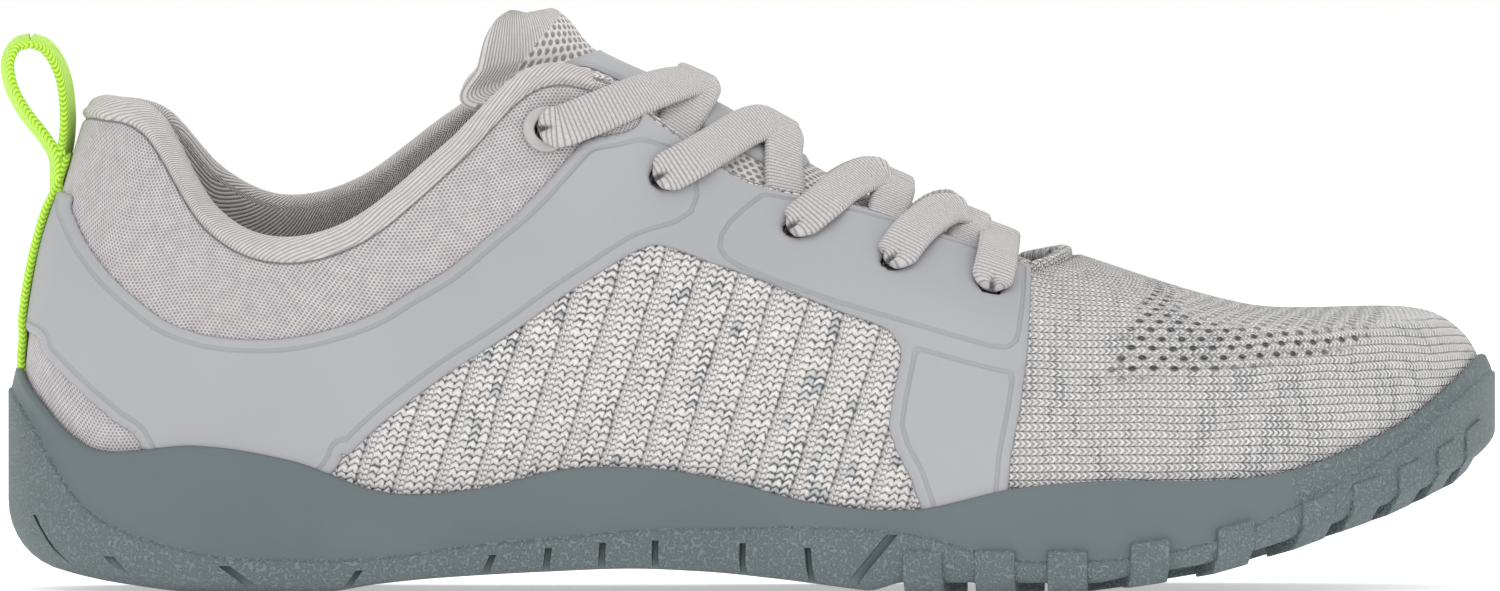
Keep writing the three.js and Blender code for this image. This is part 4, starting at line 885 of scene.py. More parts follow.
# The sole: one moulded rubber cup. Its thin smooth wall rises at the heel and the toe, a stippled
# tread band stands out below it with thin cuts, and stippled lugs climb its edge at the forefoot.
TREAD_STEP = 0.7
RIM_LIP = 1.5
LUG_DEPTH = 2.2
LUG_PROUD = 0.5
LUG_REACH = 8.5
LUG_WIDTH = 7.4
LUG_INWARD = 12
LUG_ROOT = 3.5
BLOCK_LENGTH = 8
BLOCK_WIDTH = 9.5
BLOCK_PITCH = 14.5
LUGS_FROM = 0.575
LUGS_FULL = 0.6
LUG_BEVEL = 0.45
LAST_BLOCK = 0.95  # the tread's blocks end at this share of the length
STIPPLED_TOE = 240  # the whole rim is stippled ahead of here
EDGE_LUGS = [0.612, 0.66, 0.708, 0.763, 0.82, 0.875, 0.908, 0.938, 0.963, 0.982]
# Cuts in the tread's edge: foot and head along the length, the head's height, width and depth
SIPES = [
    [0.052, 0.020, 0.34, 2.2, 1.8], [0.094, 0.070, 0.16, 2.2, 1.8], [0.182, 0.148, 0.12, 2.2, 1.8],
    [0.222, 0.238, 0.10, 1.3, 2.4], [0.312, 0.327, 0.17, 1.3, 2.4], [0.358, 0.364, 0.20, 1.3, 2.4],
    [0.396, 0.400, 0.225, 1.3, 2.4], [0.433, 0.435, 0.235, 1.3, 2.4], [0.491, 0.493, 0.225, 1.3, 2.4],
    [0.539, 0.536, 0.205, 1.3, 2.4], [0.553, 0.592, 0.265, 2.2, 1.4],
]


def under_at(x):
    return tread_at(x) + LUG_DEPTH * smooth((x / LENGTH - LUGS_FROM) / (LUGS_FULL - LUGS_FROM))


places = np.arange(800) / 20
rim = rim_share(places)
grid, normals = skin(places, rim[:, None] * np.linspace(0, 1, 5)[None, :])
inner = grid + normals * FIT
inner[:, 0, 2] = floor_at(inner[:, 0, 0])
lip = grid[:, -1] + normals[:, -1] * (FIT + RIM_LIP)
lip[:, 2] = inner[:, -1, 2] - RIM_LIP / 4
tuck = bend("tuck", places) * BALL_WIDTH
edge = outline(places, -tuck)
edge[:, 2] = under_at(edge[:, 0])
step_up = np.minimum(ring("stepUp", places) * RIM_HEIGHT, lip[:, 2] - 1.5)
corner = np.minimum(tuck * 1.1, (step_up - edge[:, 2]) * 0.8)


def wall(outward, z):
    spots = outline(places, np.broadcast_to(outward, places.shape))
    spots[:, 2] = z
    return spots


lip_middle = (inner[:, -1] + lip) / 2
lip_half = (lip - inner[:, -1]) / 2
lip_round = [lip_middle - lip_half * math.cos(a) + [0, 0, 0.6 * math.sin(a)]
             for a in np.radians([30, 60, 90, 120, 150])]
smooth_wall = through([lip, wall(-TREAD_STEP - 0.3, lip[:, 2] + (step_up - lip[:, 2]) * 0.45),
                       wall(-TREAD_STEP, step_up + 0.5)], 6)
step_edge = [wall(out, step_up + up) for out, up in ((-0.6, 0.12), (-0.2, -0.05), (0, -0.4))]
band_top = step_up - 0.4
band_foot = edge[:, 2] + corner
tread_band = [wall(0, band_top + (band_foot - band_top) * part) for part in (0.25, 0.5, 0.75, 1)]
rounding = [wall(-tuck * (1 - math.cos(a)), edge[:, 2] + corner * (1 - math.sin(a)))
            for a in np.radians(np.arange(10, 100, 10))]
loops = [*[inner[:, k] for k in range(5)], *lip_round, *smooth_wall, *step_edge, *tread_band, *rounding]
sole_grid = np.stack(loops, 1)
lines, columns = sole_grid.shape[:2]
stippled_from = 5 + len(lip_round) + len(smooth_wall)
points = [sole_grid.reshape(-1, 3)]
faces = [grid_faces(lines, columns, wrapped=True)]
zones = [np.where(faces[0][:, 0] % columns >= stippled_from - 1, 1, 0)]
front = sole_grid.reshape(-1, 3)[faces[0]].mean(1)
zones[0] = np.where((front[:, 0] > STIPPLED_TOE) & (faces[0][:, 0] % columns > 4), 1, zones[0])


def strips(loop, heights, columns, numbering, flipped):
    """Closes a ring of points with strips from side to side, at heights given along the shoe.
    numbering holds the number of the ring's first point, the step to its next, and the first
    number that is free for new points."""
    start, stride, total = numbering
    count = len(loop)
    shares = np.linspace(0, 1, columns + 1)[1:-1]
    half = count // 2
    left, right = loop[:half + 1], loop[(count - np.arange(half + 1)) % count]
    middle = left[:, None] + (right - left)[:, None] * shares[None, :, None]
    middle[..., 2] = heights(middle[..., 0])
    numbers = total + np.arange((half + 1) * len(shares)).reshape(half + 1, -1)
    near = start + np.arange(half + 1) * stride
    far = start + ((count - np.arange(half + 1)) % count) * stride
    table = np.concatenate([near[:, None], numbers, far[:, None]], 1)
    squares = np.stack([table[:-1, :-1], table[1:, :-1], table[1:, 1:], table[:-1, 1:]], -1).reshape(-1, 4)
    return middle.reshape(-1, 3), squares[:, ::-1] if flipped else squares


total = lines * columns
for column, heights, flipped, zone in ((columns - 1, under_at, False, 1), (0, floor_at, True, 0)):
    extra, squares = strips(sole_grid[:, column], heights, 24, (column, columns, total), flipped)
    points.append(extra)
    faces.append(squares)
    zones.append(np.full(len(squares), zone))
    total += len(extra)
points = np.concatenate(points)
faces = np.concatenate(faces)
zones = np.concatenate(zones)


def ring_place(along, inner_side):
    """Place on the ring at a share of the length, on the outer or the inner side"""
    scan = np.linspace(0, ROWS / 2, 4001) if not inner_side else np.linspace(ROWS, ROWS / 2, 4001)
    return float(np.interp(along, np.maximum.accumulate(ring("along", scan)), scan))


def prism(first, last):
    """Points and faces of a closed prism between two loops of corners"""
    count = len(first)
    sides = [(k, (k + 1) % count, count + (k + 1) % count, count + k) for k in range(count)]
    faces = [*sides, tuple(range(count))[::-1], tuple(range(count, 2 * count))]
    return np.concatenate([first, last]), faces


def rubber_solid(name, parts, bevel):
    """One object from several closed prisms, with rounded edges"""
    mesh = bpy.data.meshes.new(name)
    shape = bmesh.new()
    for spots, sides in parts:
        corners = [shape.verts.new(spot) for spot in place(spots)]
        for side in sides:
            shape.faces.new([corners[k] for k in side])
    bmesh.ops.recalc_face_normals(shape, faces=shape.faces[:])
    if bevel:
        bmesh.ops.bevel(shape, geom=shape.edges[:], offset=bevel / 1000, segments=2, profile=0.6,
                        affect="EDGES", clamp_overlap=True)
    shape.to_mesh(mesh)
    shape.free()
    piece = bpy.data.objects.new(name, mesh)
    bpy.context.scene.collection.objects.link(piece)
    return piece


def on_tread(spots, above):
    """The same spots in plan, at a height above the tread"""
    spots = np.array(spots, float)
    spots[:, 2] = tread_at(spots[:, 0]) + above
    return spots


def edge_lug(at):
    tuck = float(bend("tuck", at)) * BALL_WIDTH
    profile = np.array([
        [-tuck * 0.8, 0], [LUG_PROUD, tuck * 0.9], [LUG_PROUD, LUG_REACH - LUG_PROUD],
        [-TREAD_STEP - 0.4, LUG_REACH], [-RIM_WALL, LUG_REACH], [-FEATHER_INSET, LUG_ROOT],
        [-LUG_INWARD, LUG_ROOT], [-LUG_INWARD, 0],
    ])
    spots = on_tread(outline(np.full(8, at), profile[:, 0]), profile[:, 1])
    ends = on_tread(outline(np.array([at - 0.05, at + 0.05]), np.zeros(2)), 0)
    half = unit(ends[1] - ends[0]) * LUG_WIDTH / 2
    return prism(spots - half, spots + half)


def tread_block(x, y):
    corners = [[x + BLOCK_LENGTH * dx, y + BLOCK_WIDTH * dy, 0]
               for dx, dy in ((-0.5, -0.5), (0.5, -0.5), (0.5, 0.5), (-0.5, 0.5))]
    return prism(on_tread(corners, 0), on_tread(corners, LUG_ROOT))


def half_width(along, inner_side):
    return abs(outline(np.array([ring_place(along, inner_side)]), np.zeros(1))[0, 1])


lugs = [edge_lug(ring_place(along, inner_side)) for inner_side in (False, True) for along in EDGE_LUGS]
first_block = LUGS_FULL * LENGTH + BLOCK_LENGTH
for line in range(int((LENGTH * LAST_BLOCK - first_block) // BLOCK_PITCH) + 1):
    x = first_block + line * BLOCK_PITCH
    reach_out, reach_in = (half_width(x / LENGTH, inner_side) - LUG_INWARD - BLOCK_WIDTH * 0.8
                           for inner_side in (False, True))
    for step in range(7):
        y = (step - 3) * BLOCK_PITCH + (line % 2) * BLOCK_PITCH / 2
        if -reach_out < y < reach_in:
            lugs.append(tread_block(x, y))


def rubber(name, stippled):
    surface = Surface(name, Roughness=0.6, Specular_IOR_Level=0.4)
    spot = surface.node("ShaderNodeTexCoord", {}, {}, "Object")
    cloudy = surface.noise(spot, 30.0, 3.0)
    fine = surface.noise(spot, 1700.0 if stippled else 1200.0, 2.0)
    dots = fine.step(0.4, 0.6)
    if stippled:
        base = surface.mix(cloudy.step(0.3, 0.7), ink(94, 105, 107), ink(100, 111, 113))
        base = surface.mix(dots * 0.6, base, ink(122, 132, 134))
        return surface.finish(base, 0.62 + dots * 0.12, surface.bump(dots, 0.00025))
    base = surface.mix(cloudy.step(0.3, 0.7), ink(91, 102, 104), ink(97, 108, 110))
    return surface.finish(base, 0.48 + cloudy * 0.12, surface.bump(fine * 0.1 + cloudy * 0.3, 0.00025))


smooth_rubber = rubber("smooth_rubber", False)
stippled_rubber = rubber("stippled_rubber", True)
sole = build("sole", points, faces, None, [smooth_rubber, stippled_rubber], zones)
shape = bmesh.new()
shape.from_mesh(sole.data)
bmesh.ops.remove_doubles(shape, verts=shape.verts[:], dist=1e-6)
bmesh.ops.dissolve_degenerate(shape, edges=shape.edges[:], dist=1e-7)
shape.to_mesh(sole.data)
shape.free()
cuts = []
for foot, head, head_up, width, depth in SIPES:
    for inner_side in (False, True):
        loops = []
        for along, z in ((foot, -LUG_DEPTH), (head, head_up * RIM_HEIGHT)):
            at = ring_place(along, inner_side)
            out, deep = outline(np.array([at, at]), np.array([3, -depth])) + [0, 0, z]
            half = np.array([width / 2, 0, 0])
            loops.append([out - half, deep - half, deep + half, out + half])
        cuts.append(prism(*loops))
cutters = rubber_solid("sipe_cutters", cuts, 0)
cutting = sole.modifiers.new("sipes", "BOOLEAN")
cutting.operation = "DIFFERENCE"
cutting.solver = "EXACT"
cutting.object = cutters
bpy.context.view_layer.update()
sole_mesh = bpy.data.meshes.new_from_object(sole.evaluated_get(bpy.context.evaluated_depsgraph_get()))
sole.modifiers.clear()
sole.data = sole_mesh
bpy.data.objects.remove(cutters)
sole.data.set_sharp_from_angle(angle=math.radians(40))
lug_piece = rubber_solid("sole_lugs", lugs, LUG_BEVEL)
lug_piece.data.materials.append(stippled_rubber)
for piece in (sole, lug_piece):
    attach(piece, "root")
    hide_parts("outsole")

# The insole: a sheet of foam with a woven grey top, loose on the floor of the cup
INSOLE_THICKNESS = 3
WEAVE = 3400.0  # how fast the weave's waves turn, in radians to a metre
places = np.arange(ROWS * 10) / 10
lengths = rib_length(places)
levels = (INSOLE_THICKNESS / lengths)[:, None] * np.array([[0.0, 0.5, 1.0]])
grid, normals = skin(places, levels)
insole_grid = grid - normals * (wall_at(places, levels) + FIT * 2)[..., None]
low = floor_at(insole_grid[:, 0, 0]) + FIT
for column, up in enumerate((0, INSOLE_THICKNESS / 2, INSOLE_THICKNESS)):
    insole_grid[:, column, 2] = low + up
flat = insole_grid.reshape(-1, 3)


def insole_top(x):
    return floor_at(x) + FIT + INSOLE_THICKNESS


top, squares = strips(insole_grid[:, 2], insole_top, 24, (2, 3, len(flat)), True)
foam = Surface("insole_cloth", Roughness=0.9, Sheen_Weight=0.3)
spot = foam.node("ShaderNodeTexCoord", {}, {}, "Object")
x, y, _ = (foam.node("ShaderNodeSeparateXYZ", {}, {0: spot}, axis) for axis in range(3))
weave = (x * WEAVE).sine() * (y * WEAVE).sine()
tone = foam.noise(spot, 260.0, 3.0)
base = foam.mix(tone.step(0.3, 0.7), ink(120, 118, 118), ink(142, 140, 139))
base = foam.mix(weave.step(-0.2, 0.9) * 0.4, base, ink(168, 165, 163))
foam_material = foam.finish(base, None, foam.bump(weave + tone, 0.0003))
insole = build("insole_sheet", np.concatenate([flat, top]),
               np.concatenate([grid_faces(len(places), 3, wrapped=True), squares]), None, [foam_material])
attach(insole, "root")
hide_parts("insole")

# The tongue: padded, with ribbed lycra bound over its top, then open mesh down to the vamp. A
# smooth film is welded to its middle under the lace.
TONGUE_PAD = 4.2
TONGUE_EDGE = 2
TONGUE_FIT = 0.6
TONGUE_TUCK = 6
BULB_HEIGHT = 26  # the padding swells over this height at the tongue's top
BULB_SWELL = 3.3
LYCRA_SEAM = (92.2, 93.4, 0.81)  # a spot along and up on the seam under the lycra, and its slope
RIDGE = 0.014 * BALL_WIDTH
# row of the ring, then the ridge along and up
TONGUE = np.array([
    [13.0, 0.688, 0.620], [12.4, 0.660, 0.648], [11.7, 0.622, 0.690], [11.0, 0.583, 0.740],
    [10.3, 0.538, 0.808], [9.6, 0.500, 0.876], [9.0, 0.464, 0.932], [8.3, 0.428, 0.972],
    [7.6, 0.400, 1.008],
])
# ridge along and up, then the edges along, across and up, above the collar and under the vamp
TONGUE_TOP = [
    [0.395, 1.020, 0.309, 0.212, 0.920], [0.387, 1.042, 0.317, 0.202, 0.985],
    [0.377, 1.078, 0.322, 0.180, 1.046], [0.366, 1.104, 0.327, 0.140, 1.082],
    [0.357, 1.112, 0.338, 0.075, 1.104],
]
TONGUE_NOSE = [0.712, 0.572, 0.709, 0.088, 0.558]


def crest_at(row, column):
    return steady_curve(-TONGUE[:, 0], TONGUE[:, column], -np.asarray(row, float))


def inside_wall(at, down, deeper):
    """A point on the inner face of the upper, some way below its edge"""
    at = np.atleast_1d(float(at))
    share = 1 - down / rib_length(at)[:, None]
    spot, normal = skin(at, share)
    return (spot - normal * (wall_at(at, share) + deeper)[..., None])[0, 0]


def paired_line(row):
    crest = np.array([crest_at(row, 1) * LENGTH, RIDGE, crest_at(row, 2) * INSTEP_HEIGHT])

    def half(at):
        wing, rim = (inside_wall(at, down, TONGUE_FIT) for down in (TONGUE_TUCK, 0))
        bows = []
        for part in (1 / 3, 2 / 3):
            bowed = 1 - (1 - part) ** 2
            bows.append(rim + (crest - rim) * [bowed, part, bowed])
        return [wing, rim, *bows]

    return np.array([*half(row), crest, *half(ROWS - row)[::-1]])


def free_line(crest_along, crest_up, wing_along, wing_across, wing_up):
    shares = np.array([-1, -0.8, -0.53, -0.27, 0, 0.27, 0.53, 0.8, 1])
    squared = shares**2
    return np.stack([(crest_along + (wing_along - crest_along) * squared) * LENGTH,
                     RIDGE + wing_across * BALL_WIDTH * shares,
                     (crest_up + (wing_up - crest_up) * squared) * INSTEP_HEIGHT], 1)


def face_normals(grid):
    across = np.gradient(grid, axis=1)
    along = np.gradient(grid, axis=0)
    return unit(np.cross(across, along))


tongue_lines = np.array([free_line(*TONGUE_NOSE), *[paired_line(row) for row in TONGUE[:, 0]],
                         *[free_line(*row) for row in TONGUE_TOP]])
fine = through(tongue_lines, 10)
fine = through(fine.transpose(1, 0, 2), 10).transpose(1, 0, 2)
normals = face_normals(fine)
lines, columns = fine.shape[:2]
travel = np.concatenate([[0], np.cumsum(np.linalg.norm(np.diff(fine[:, columns // 2], axis=0), axis=1))])
spread = np.linalg.norm(np.diff(fine, axis=1), axis=-1)
spread = np.concatenate([np.zeros((lines, 1)), np.cumsum(spread, 1)], 1)
spread -= spread[:, columns // 2:columns // 2 + 1]
from_end = np.minimum(travel, travel[-1] - travel)[:, None]
to_edge = np.where(spread < 0, -spread[:, :1], spread[:, -1:])
from_side_edge = to_edge - np.abs(spread)
top_bulb = smooth((travel - travel[-1] + BULB_HEIGHT) / 18)[:, None]
pad = TONGUE_EDGE + (TONGUE_PAD - TONGUE_EDGE) * smooth(from_side_edge / 8) * smooth(travel / 12)[:, None]
pad = pad + top_bulb * (0.4 + BULB_SWELL * smooth(from_side_edge / 7))
near = np.minimum(from_end, np.maximum(from_side_edge, 0))
round_off = 1 - np.sqrt(1 - (1 - np.clip(near / (pad / 2), 0, 1)) ** 2)
front_face = fine - normals * (pad / 2 * round_off)[..., None]
back_face = fine - normals * (pad - pad / 2 * round_off)[..., None]
tongue_points = np.concatenate([front_face.reshape(-1, 3), back_face.reshape(-1, 3)])
front_squares = grid_faces(lines, columns)
back_squares = grid_faces(lines, columns, first=lines * columns)[:, ::-1]

# The lycra's ridges fan out to the tongue's edges, so its slant is taken out of their coordinates
upward = np.broadcast_to(travel[:, None], spread.shape)
fan = smooth((travel - travel[-1] + 30) / 8)[:, None]
fanned = spread + (spread / to_edge * 26 - spread) * fan
tongue_cloth = np.stack([fanned * LYCRA_LEAN[0] + upward * LYCRA_LEAN[1],
                         upward * LYCRA_LEAN[0] - fanned * LYCRA_LEAN[1], np.zeros(spread.shape)], -1)
tongue_cloth = np.concatenate([tongue_cloth.reshape(-1, 3), tongue_cloth.reshape(-1, 3) + [0, 0, 1]])
squares = np.concatenate([front_squares, back_squares])
seam = tongue_points[squares[:, 0]]
seam_along, seam_up, seam_slope = LYCRA_SEAM
zones = np.where(seam[:, 0] < seam_along + seam_slope * (seam[:, 2] - seam_up), 1, 0)
zones = np.where(squares[:, 0] >= lines * columns, 1, zones)

MESH_ROW = 1.35
MESH_HOLES = 1.7
mesh_cloth = Surface("tongue_mesh", Roughness=0.85, Sheen_Weight=0.2)
u, v, _ = mesh_cloth.attribute("cloth")
row = v / MESH_ROW
dot_u = (u / MESH_HOLES + row.floor() * 0.5).fract() - 0.5
dot_v = row.fract() - 0.5
dot = 1 - (dot_u * dot_u + dot_v * dot_v).step(0.02, 0.16)
tone = mesh_cloth.noise(mesh_cloth.vector(u, v), 1.4, 2.0)
base = mesh_cloth.mix(tone.step(0.3, 0.7), ink(196, 191, 188), ink(216, 212, 209))
base = mesh_cloth.mix(dot * 0.75, base, ink(92, 88, 86))
mesh_material = mesh_cloth.finish(base, None, mesh_cloth.bump((1 - dot) + tone * 0.3, 0.0004))
tongue = build("tongue_pad", tongue_points, squares, tongue_cloth, [mesh_material, lycra_material], zones)
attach(tongue, "root")
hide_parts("tongue")

# The film on the tongue's middle, over some of its lines and columns
PATCH_LIFT = 0.9
PATCH_EDGE_LIFT = 0.1
patch = slice(50, 101), slice(20, 61)
patch_grid, patch_normals = fine[patch], normals[patch]
patch_travel, patch_spread = travel[patch[0]][:, None], spread[patch]
edge_in = np.minimum.reduce(np.broadcast_arrays(
    patch_travel - patch_travel[0], patch_travel[-1] - patch_travel,
    patch_spread - patch_spread[:, :1], patch_spread[:, -1:] - patch_spread))
lift = np.sqrt(1 - (1 - np.clip(edge_in / FILM_EDGE, 0, 1)) ** 2)
lift = PATCH_EDGE_LIFT + (PATCH_LIFT - PATCH_EDGE_LIFT) * lift
patch_points = (patch_grid + patch_normals * lift[..., None]).reshape(-1, 3)
patch_marks = np.stack([edge_in, np.full(edge_in.shape, 9.0), edge_in], -1).reshape(-1, 3)
tongue_film = build("tongue_patch", patch_points, grid_faces(*patch_grid.shape[:2]), None, [film_material],
                    marks={"film": patch_marks})
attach(tongue_film, "root")
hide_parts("tongue_film")

# Two moulded rings in the top pair of lace holes: a rounded flange with a tube through the collar
RING_DIAMETER = 8.7
RING_BORE = 4.5
RING_FLANGE = 0.9
RING_TUBE = 0.5
RING_DEPTH = 3.6
RING_EDGE = 0.45  # radius of the flange's edges
RING_GAP = 0.2
ring_plastic = Surface("ring_plastic", Roughness=0.4, Specular_IOR_Level=0.45)
spot = ring_plastic.node("ShaderNodeTexCoord", {}, {}, "Object")
tone = ring_plastic.noise(spot, 300.0, 2.0)
base = ring_plastic.mix(tone.step(0.3, 0.7), ink(168, 164, 164), ink(180, 176, 176))
ring_material = ring_plastic.finish(base, 0.36 + tone * 0.1, ring_plastic.bump(tone, 0.0001))
outer_rim, bore, tube = RING_DIAMETER / 2, RING_BORE / 2, RING_BORE / 2 + RING_TUBE
top = FIT * 2 + RING_FLANGE
quarter = np.radians(np.arange(0, 91, 15))
round_over = [(outer_rim - RING_EDGE * (1 - math.cos(a)), top - RING_EDGE * (1 - math.sin(a)))
              for a in quarter]
round_in = [(bore + RING_EDGE * (1 - math.sin(a)), top - RING_EDGE * (1 - math.cos(a))) for a in quarter]
ring_profile = np.array([(tube, -RING_DEPTH), (tube, RING_GAP), (outer_rim, RING_GAP),
                         *round_over, *round_in, (bore, -RING_DEPTH)])
TURNS = 64
for pair, at, spot, normal in hole_axes():
    if pair > 0:
        continue
    side_axis = unit(np.cross(normal, [0, 0, 1.0]))
    up_axis = np.cross(side_axis, normal)
    angles = np.arange(TURNS) * math.tau / TURNS
    spokes = np.cos(angles)[:, None] * side_axis + np.sin(angles)[:, None] * up_axis
    ring_points = (spot + spokes[:, None, :] * ring_profile[None, :, :1]
                   + normal * ring_profile[None, :, 1:]).reshape(-1, 3)
    name = "eyelet_outer" if at < ROWS / 2 else "eyelet_inner"
    ring_faces = grid_faces(TURNS, len(ring_profile), wrapped=True)
    eyelet_ring = build(f"{name}_ring", ring_points, ring_faces, None, [ring_material])
    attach(eyelet_ring, "root")
    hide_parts(name)

# The lace: flat and woven. It comes up out of each hole, crosses the tongue to the other side and
# tucks in under the throat's edge there. A straight bar joins the lowest pair of holes.
LACE_WIDTH = 8
LACE_THICKNESS = 1.5
# Middle line of each crossing from the side, in millimetres along and up: past its hole up to the
# ridge of the tongue, and down its far side to where it tucks in under the throat's edge
CROSSINGS = [
    [[[104.8, 87.0], [109.5, 88.9], [115.0, 91.2], [120.6, 93.4], [125.5, 95.0], [129.2, 95.8]],
     [[129.6, 93.6], [127.9, 90.5], [126.0, 87.4], [124.9, 85.0]]],
    [[[129.0, 81.0], [133.8, 83.8], [138.5, 86.6], [142.3, 87.9], [144.8, 87.4]],
     [[145.1, 85.0], [145.1, 82.3], [145.4, 78.8], [145.8, 75.0], [146.1, 71.5]]],
    [[[153.0, 72.6], [156.8, 75.6], [160.5, 77.6], [163.8, 78.3], [166.3, 76.9]],
     [[165.9, 74.2], [165.1, 71.0], [164.8, 67.8]]],
    [[[169.6, 66.9], [172.9, 69.7], [176.0, 71.4], [179.0, 71.3], [180.7, 69.8]],
     [[180.3, 67.6], [179.6, 64.8], [179.2, 62.0]]],
]
BAR = [[185.4, 61.4], [186.0, 64.6], [186.3, 66.2]]
EYESTAY_LIFT = 1.75
ON_TONGUE = 1.75
TUCKED = 0.2  # the tucked ends are pressed into the padded tongue
# Lifts of a lace's end over its hole and just past it: out of the ring, and out of the other holes
MOUTH_LIFTS = [(-0.3, 0.6), (-0.5, 0.0)]
RING_RISE = 0.6  # the top crossing comes up over its ring
CROSSED_RISE = 0.9  # a crossing from the outer side lies on the one from the inner side
END_ROUND = 3.7  # length over which a rounded end narrows
END_DROP = 0.9  # and over which it drops to the wall
CLEFT_LENGTH = 4.6
BAND_POINTS = 25  # points over a band's width
STUB_WIDTH = 3.8  # the lace inside a hole is folded


def over_wall(at, share, lift=EYESTAY_LIFT):
    spot, normal = skin([at], [[share]])
    return spot[0, 0] + normal[0, 0] * lift, normal[0, 0]


# What the lace lies on, as points and ways out: the wall and the rounded edge of the throat, and
# the tongue between them
rows_there = np.concatenate([np.arange(6, 15.01, 0.1), np.arange(25, 34.01, 0.1)])
wall_levels = np.broadcast_to(np.linspace(0.72, 1, 30), (len(rows_there), 30))
wall_spots, wall_outs = skin(rows_there, wall_levels)
thick = wall_at(rows_there, np.ones((len(rows_there), 1)))
after, before = (skin(rows_there + step, np.ones_like(thick))[0] for step in (0.1, -0.1))
edge_steps = unit(after - before)
edge_rise = unit(np.cross(wall_outs[:, -1:], edge_steps))
turns = np.radians([20, 45, 70, 90, 110])[None, :, None]
edge_outs = wall_outs[:, -1:] * np.cos(turns) + edge_rise * np.sin(turns)
edge_spots = (wall_spots[:, -1:] - wall_outs[:, -1:] * thick[..., None] / 2
              + edge_outs * (thick[..., None] / 2 + EYESTAY_LIFT))
tongue_spots, tongue_outs = fine.reshape(-1, 3), normals.reshape(-1, 3)
bed = np.concatenate([(wall_spots + wall_outs * EYESTAY_LIFT).reshape(-1, 3), edge_spots.reshape(-1, 3),
                      tongue_spots + tongue_outs * ON_TONGUE])
bed_outs = np.concatenate([wall_outs.reshape(-1, 3), edge_outs.reshape(-1, 3), tongue_outs])


def lay(line, side, under=False):
    """Lays a line given from the side on the shoe: side is -1 on the outer side, 1 on the inner.
    A line that goes under the throat's edge lies on the tongue alone, and sinks into it."""
    spots, outs = (tongue_spots, tongue_outs) if under else (bed, bed_outs)
    lifts = np.linspace(ON_TONGUE, TUCKED, len(line)) if under else np.zeros(len(line))
    own_side = (spots[:, 1] - RIDGE) * side > -1.0
    route = []
    for (x, z), lift in zip(line, lifts):
        away = np.hypot(spots[:, 0] - x, spots[:, 2] - z) + np.where(own_side, 0, 1e3)
        near_by = away < max(1.3, away.min() + 0.4)
        pick = np.nonzero(near_by)[0][np.argmax(spots[near_by, 1] * side)]
        route.append((np.array([x, spots[pick, 1], z]) + outs[pick] * lift, outs[pick]))
    return route


def hole_mouth(start, share, toward, lifts):
    """The lace's rounded end over its hole, and how it sets off over the wall"""
    centre, normal = over_wall(start, share)
    heading = np.array([toward[0], centre[1], toward[1]]) - centre
    heading = unit(heading - normal * (heading @ normal))
    return [(centre + heading * ahead + normal * lift, normal) for ahead, lift in zip((-1.5, 0.6), lifts)]


def crossing(k, side):
    """One crossing, from its hole over the tongue to under the far edge"""
    row, down = HOLES[k]
    start = row if side < 0 else ROWS - row
    share = 1 - down / float(rib_length(start)[0])
    rise, fall = CROSSINGS[k]
    mouth = hole_mouth(start, share, rise[0], MOUTH_LIFTS[k > 0])
    up = lay(rise, side)
    if k == 0:
        up[0] = (up[0][0] + up[0][1] * RING_RISE, up[0][1])
    hump = CROSSED_RISE if side < 0 else 0.0
    top = [(np.array([rise[-1][0] + 0.4, RIDGE, rise[-1][1] + 0.3 + hump]), np.array([0.35, 0, 0.94]))]
    down_line = lay(fall, -side, under=True)
    route = [*mouth, *up, *top, *down_line]
    spots = np.array([spot for spot, _ in route])
    outs = unit(np.array([out for _, out in route]))
    facing = np.zeros(outs.shape)
    facing[3:2 + len(up), 1] = side * 0.9
    outs = unit(outs + facing)
    for _ in range(2):
        spots[3:-1, 1] = (spots[2:-2, 1] + spots[3:-1, 1] * 2 + spots[4:, 1]) / 4
        outs[2:-1] = unit(outs[1:-2] + outs[2:-1] * 2 + outs[3:])
    return list(zip(spots, outs))


